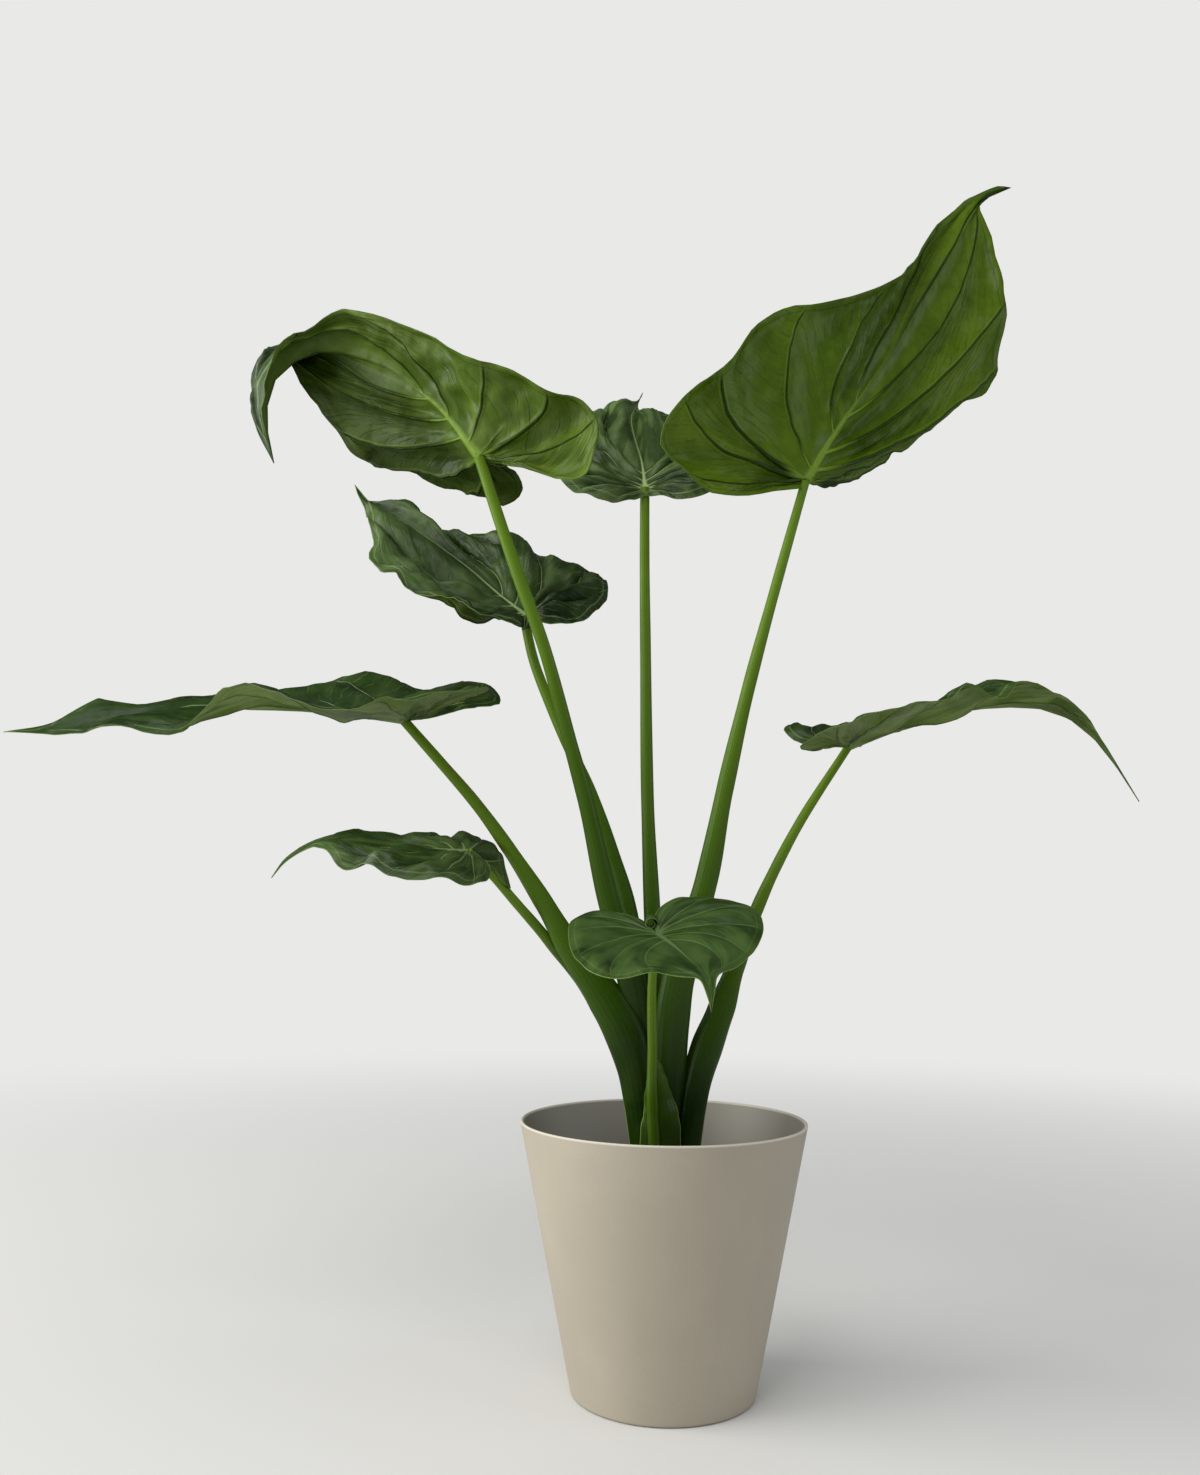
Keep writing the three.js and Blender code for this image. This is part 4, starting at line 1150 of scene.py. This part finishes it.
def nearest(points, curve, count):
    """Distance from each point to a curve, and the share of the curve that is nearest."""
    shares = np.linspace(0, 1, count)
    line = curve.at(shares)
    flat = points.reshape(-1, 3)
    distance, index = np.empty(len(flat)), np.empty(len(flat), int)
    for start in range(0, len(flat), NEAREST_AT_ONCE):
        part = slice(start, start + NEAREST_AT_ONCE)
        gaps = np.linalg.norm(flat[part, None] - line[None], axis=2)
        index[part] = gaps.argmin(axis=1)
        distance[part] = gaps.min(axis=1)
    return distance.reshape(points.shape[:2]), shares[index].reshape(points.shape[:2])


def half_sheet(leaf, half):
    """The corners of half a blade and what is measured at them, row by row and outwards."""
    table = np.linspace(0, 1, TABLE_COLUMNS)
    tables = half_rows(leaf, half, table)
    rows = len(tables[0])
    middle_share = tables[0][:, TABLE_COLUMNS // 2]
    row_length = length(half_face(leaf, half, middle_share, np.ones(rows))
                        - half_face(leaf, half, middle_share, np.zeros(rows)))[:, 0]
    rib_half_width = mix(*RIB_HALF_WIDTH, root_share(leaf, middle_share))
    rib_edge = np.minimum(rib_half_width / row_length, WIDEST_RIB)[:, None]
    outwards = 1 - (1 - np.linspace(0, 1, SHEET_COLUMNS + 1)[1:]) ** COLUMN_CROWDING
    across = np.concatenate([rib_edge * np.array(RIB_COLUMNS), mix(rib_edge, 1, outwards)], axis=1)
    share, place, from_vein = (
        np.array([np.interp(across[row], table, numbers[row]) for row in range(rows)]) for numbers in tables)
    points = half_face(leaf, half, share, across)
    points[-1] = points[-1, -1]
    from_rib, climb = nearest(points, leaf["midrib"], MIDRIB_SAMPLES)
    from_margin = nearest(points, leaf["margin"][half], MARGIN_SAMPLES)[0]
    return {"points": points, "share": share, "place": place, "out": across, "climb": climb,
            "from_vein": from_vein, "from_rib": from_rib, "from_margin": from_margin}


def sheet_lift(sheet, work, seed):
    """How far each corner rises from the plain sheet: swellings between veins, dents, margin waves."""
    place, out, climb = sheet["place"], sheet["out"], sheet["climb"]
    sides = np.sign(sheet["side"])

    def each(rise, *measures):
        """A rise at each corner, from what is measured there."""
        corners = zip(*(numbers.ravel() for numbers in measures))
        return np.array([rise(*corner) for corner in corners]).reshape(place.shape)

    def dent(*point):
        broad = noise.noise(Vector(point) * BROAD_DENTS + Vector((seed, 0, 0)))
        return broad + FINE_DENT_HEIGHT * noise.noise(Vector(point) * FINE_DENTS + Vector((0, seed, 0)))

    def wave(place, side):
        return noise.noise(Vector((place * WAVES, seed, side))) * WAVE_HEIGHT

    def streak(place, out, side):
        return noise.noise(Vector((place * STREAKS + seed, out * STREAK_LENGTH, side)))

    room = np.minimum(sheet["from_rib"], sheet["from_margin"] * 1.5)
    swell = QUILT * work["quilt"] * np.sin(math.pi * (place % 1)) * np.minimum(sheet["width"], WIDEST_SWELL)
    swell = swell * smooth(room / SWELL_REACH)
    dents = each(dent, *np.moveaxis(sheet["points"], 2, 0))
    waves = each(wave, place, sides) * out ** WAVE_POWER
    streaks = each(streak, place, out, sides) * smooth(room / STREAK_REACH)
    ease = smooth(sheet["from_rib"] / DENT_REACH) * smooth((1 - climb) / DENTS_FROM_TIP)
    rough = work["crumple"] * (dents + STREAK_HEIGHT * streaks) + work["ripple"] * waves
    return swell * smooth((1 - climb) / SWELLS_FROM_TIP) + ease * rough


def sheet_thickness(sheet):
    """The sheet's thickness with the midrib and the veins that stand out of its underside."""
    rib_half_width = mix(*RIB_HALF_WIDTH, sheet["climb"] ** RIB_TAPER)
    rib_round = np.sqrt(np.clip(1 - (sheet["from_rib"] / rib_half_width) ** 2, 0, 1))
    rib = mix(*RIB_HEIGHT, np.sqrt(sheet["climb"])) * rib_round
    vein_half_width = mix(*VEIN_HALF_WIDTH, sheet["out"])
    vein_round = smooth(1 - sheet["from_vein"] / (VEIN_FLANKS * vein_half_width))
    vein = mix(*VEIN_HEIGHT, sheet["out"]) * vein_round * smooth(sheet["from_margin"] / VEIN_FADE)
    plain = mix(SHEET_AT_MARGIN, SHEET, smooth(sheet["from_margin"] / MARGIN_FADE))
    return plain + np.maximum(rib, vein)


def sheet_shade(sheet, work):
    """How far painted shade darkens the right half and the lobes, from 0 to 1."""
    right = work["shade_right"] * (np.sign(sheet["side"]) + 1) / 2
    lobes = work["shade_lobes"] * np.clip(LOBES_FADE * (LOBES_END - sheet["share"]), 0, 1)
    return np.clip((right + lobes) * np.clip(4 * sheet["out"], 0, 1), 0, 1)


def make_blade(name, leaf, number, upper, underside):
    """A blade: one sheet from margin to margin over the midrib, thickened to its ribs and veins."""
    left, right = (half_sheet(leaf, half) for half in ("left", "right"))
    sheet = {key: np.concatenate([left[key][:, :0:-1], right[key]], axis=1) for key in left}
    rows = sheet["points"]
    columns = rows.shape[1]
    sheet["side"] = np.broadcast_to(np.arange(columns)[None] - columns // 2, rows.shape[:2])
    steps = length(np.gradient(rows, axis=0))[..., 0]
    sheet["width"] = steps / np.maximum(np.gradient(sheet["place"], axis=0), 1e-4)
    work = dict(zip(WORKINGS, SHEET_WORK[name]))
    blade = place_grid(f"leaf_blade_{name}", rows)
    half_length = np.cumsum(length(np.diff(rows, axis=1, prepend=rows[:, :1]))[..., 0], axis=1)
    fine_place = sheet["place"] * FINE_BY_VEIN + half_length * FINE_BY_MILLIMETRE
    carry(blade, lift=sheet_lift(sheet, work, SEED_STEP * number), thickness=sheet_thickness(sheet),
          fine_place=fine_place, shade=sheet_shade(sheet, work))
    carry(blade, **{key: sheet[key] for key in ("out", "climb", "from_rib", "from_vein", "from_margin")})
    # How clearly the veins show, and how far a painted sheen covers each face
    carry(blade, **{key: np.full(steps.shape, work[key]) for key in ("veins", "painted_sheen", "painted_sheen_below")})
    weld()
    bpy.ops.object.mode_set(mode="OBJECT")
    places = np.empty(len(blade.data.vertices) * 3)
    blade.data.vertices.foreach_get("co", places)
    normals = np.array([corner.vector for corner in blade.data.vertex_normals])
    places = places.reshape(-1, 3) + normals * carried(blade, "lift")[:, None] * MM
    blade.data.vertices.foreach_set("co", places.ravel())
    thickness = carried(blade, "thickness")
    most = float(thickness.max())
    weights = blade.vertex_groups.new(name="thickness")
    for corner, value in enumerate(thickness):
        weights.add([corner], value / most, "REPLACE")
    blade.data.materials.append(upper)
    blade.data.materials.append(underside)
    thicken(blade, most * MM, -1, vertex_group=weights.name, material_offset=1, material_offset_rim=0)
    settle(blade, f"blade_{name}", "blade")


def make_curl(leaf, finish):
    """The small roll of sheet where the front leaf's lobes meet over its stalk."""
    steps, depths = CURL_CORNERS
    share, depth = np.meshgrid(np.linspace(0, 1, steps), np.linspace(-1, 1, depths), indexing="ij")
    turn = 2 * math.pi * CURL_TURNS * share - math.pi / 2
    radius = mix(*CURL_RADII, share)
    middle = leaf["margin"]["left"].at(0.0) + np.array(CURL_OFFSET)
    reach = CURL_DEPTH * mix(CURL_END_DEPTH, 1.0, np.sin(math.pi * share)) * depth
    roll = np.stack([radius * np.cos(turn), reach, radius * np.sin(turn) + CURL_TILT * reach], axis=-1)
    curl = place_grid("leaf_curl_front", middle + roll)
    carry(curl, from_margin=CURL_DEPTH - np.abs(reach),
          **{key: np.full(share.shape, value) for key, value in CURL_MEASURES.items()})
    curl.data.materials.append(finish)
    thicken(curl, SHEET * MM, 0)
    settle(curl, None, "blade")


def make_leaves():
    """Each leaf's stalk and blade, and the front leaf's curl."""
    upper = blade_finish("blade_upper", UPPER_FACE)
    underside = blade_finish("blade_underside", UNDERSIDE)
    stalk_skin = make_stalk_finish()
    for number, (name, leaf) in enumerate(LEAVES.items()):
        tip = leaf["mid"][-1]
        leaf["midrib"] = Curve(leaf["mid"])
        leaf["margin"] = {half: Curve([*leaf[half], tip]) for half in ("left", "right")}
        make_stalk(name, leaf, stalk_skin)
        make_blade(name, leaf, number, upper, underside)
    make_curl(LEAVES["front"], upper)


# The room, the camera and the light

FLOOR_RADIUS = 2.4
FLOOR_FADE = 0.55
FLOOR_COLOUR = colour(206, 205, 202)
WALL_COLOUR = colour(233, 233, 232)
ROOM_TINT = (0.96, 0.98, 1, 1)
ROOM_LIGHT = 0.57
ROOM_SHEEN = 0.1
CAMERA_PLACE = (-0.0515, -0.957, 0.348)
CAMERA_PITCH = 8.54
CAMERA_ROLL = 0.54
# In pixels of an image this high
FOCAL_LENGTH = 1200
IMAGE_HEIGHT = 1475
SENSOR = 36
# Each light's name, place, target, size, power and tint
LIGHTS = (
    ("window", (-3.3, -0.6, 1.35), (0, 0, 0.38), 2.8, 140, (1, 0.99, 0.96)),
    ("ceiling", (-0.7, -1.3, 2.1), (0, 0, 0.45), 1.2, 21, (1, 1, 1)),
    ("fill", (2.4, -0.5, 1.0), (0, 0, 0.4), 1.8, 13, (0.92, 0.96, 1)),
)


def make_floor():
    """A pale floor that fades into the room around it."""
    clear_selection()
    bpy.ops.mesh.primitive_circle_add(vertices=96, radius=FLOOR_RADIUS, fill_type="NGON")
    floor = start_piece("floor")
    finish, tree, shader = new_finish("floor_paint", 0.9, 0.0)
    shader.inputs["Base Color"].default_value = FLOOR_COLOUR
    fade = ramp(tree, far_out(tree, object_place(tree)), FLOOR_FADE, FLOOR_RADIUS)
    clear = tree.nodes.new("ShaderNodeBsdfTransparent").outputs[0]
    surface = add_node(tree, "ShaderNodeMixShader", {0: fade, 1: shader.outputs[0], 2: clear}).outputs[0]
    tree.links.new(surface, tree.nodes["Material Output"].inputs["Surface"])
    floor.data.materials.append(finish)


def make_camera():
    """The camera low in front of the pot, tipped up a little."""
    pitch, roll = math.radians(CAMERA_PITCH), math.radians(CAMERA_ROLL)
    forward = Vector((0, math.cos(pitch), math.sin(pitch)))
    right = Vector((1, 0, 0))
    up = right.cross(forward)
    level_right = math.cos(roll) * right + math.sin(roll) * up
    level_up = -math.sin(roll) * right + math.cos(roll) * up
    turn = Matrix((level_right, level_up, -forward)).transposed()
    view = bpy.data.cameras.new("camera")
    view.sensor_fit = "VERTICAL"
    view.sensor_height = SENSOR
    view.lens = SENSOR * FOCAL_LENGTH / IMAGE_HEIGHT
    camera = bpy.data.objects.new("camera", view)
    bpy.context.scene.collection.objects.link(camera)
    camera.matrix_world = Matrix.Translation(CAMERA_PLACE) @ turn.to_4x4()
    bpy.context.scene.camera = camera


def add_light(name, place, target, size, power, tint):
    lamp = bpy.data.lights.new(name, "AREA")
    lamp.shape = "SQUARE"
    lamp.size = size
    lamp.energy = power
    lamp.color = tint
    light = bpy.data.objects.new(name, lamp)
    bpy.context.scene.collection.objects.link(light)
    light.location = place
    light.rotation_euler = (Vector(target) - Vector(place)).to_track_quat("-Z", "Y").to_euler()


def make_light():
    """A pale room that lights the leaves softly and mirrors weakly in them, and three lamps."""
    world = bpy.data.worlds.new("room")
    bpy.context.scene.world = world
    world.use_nodes = True
    tree = world.node_tree
    tree.nodes.clear()
    path = tree.nodes.new("ShaderNodeLightPath").outputs
    strength = ramp(tree, path["Is Glossy Ray"], 0.0, 1.0, ROOM_LIGHT, ROOM_SHEEN, "LINEAR")
    seen = add_node(tree, "ShaderNodeBackground", {"Color": WALL_COLOUR, "Strength": 1.0}).outputs[0]
    lighting = add_node(tree, "ShaderNodeBackground", {"Color": ROOM_TINT, "Strength": strength}).outputs[0]
    sky = add_node(tree, "ShaderNodeMixShader", {0: path["Is Camera Ray"], 1: lighting, 2: seen}).outputs[0]
    add_node(tree, "ShaderNodeOutputWorld", {"Surface": sky})
    for light in LIGHTS:
        add_light(*light)


bpy.context.scene.view_settings.view_transform = "Standard"
make_camera()
make_light()
make_floor()
make_pot()
soil_finish = make_soil_finish()
make_soil(soil_finish)
make_crumbs(soil_finish)
make_stem()
make_leaves()

bpy.context.view_layer.update()
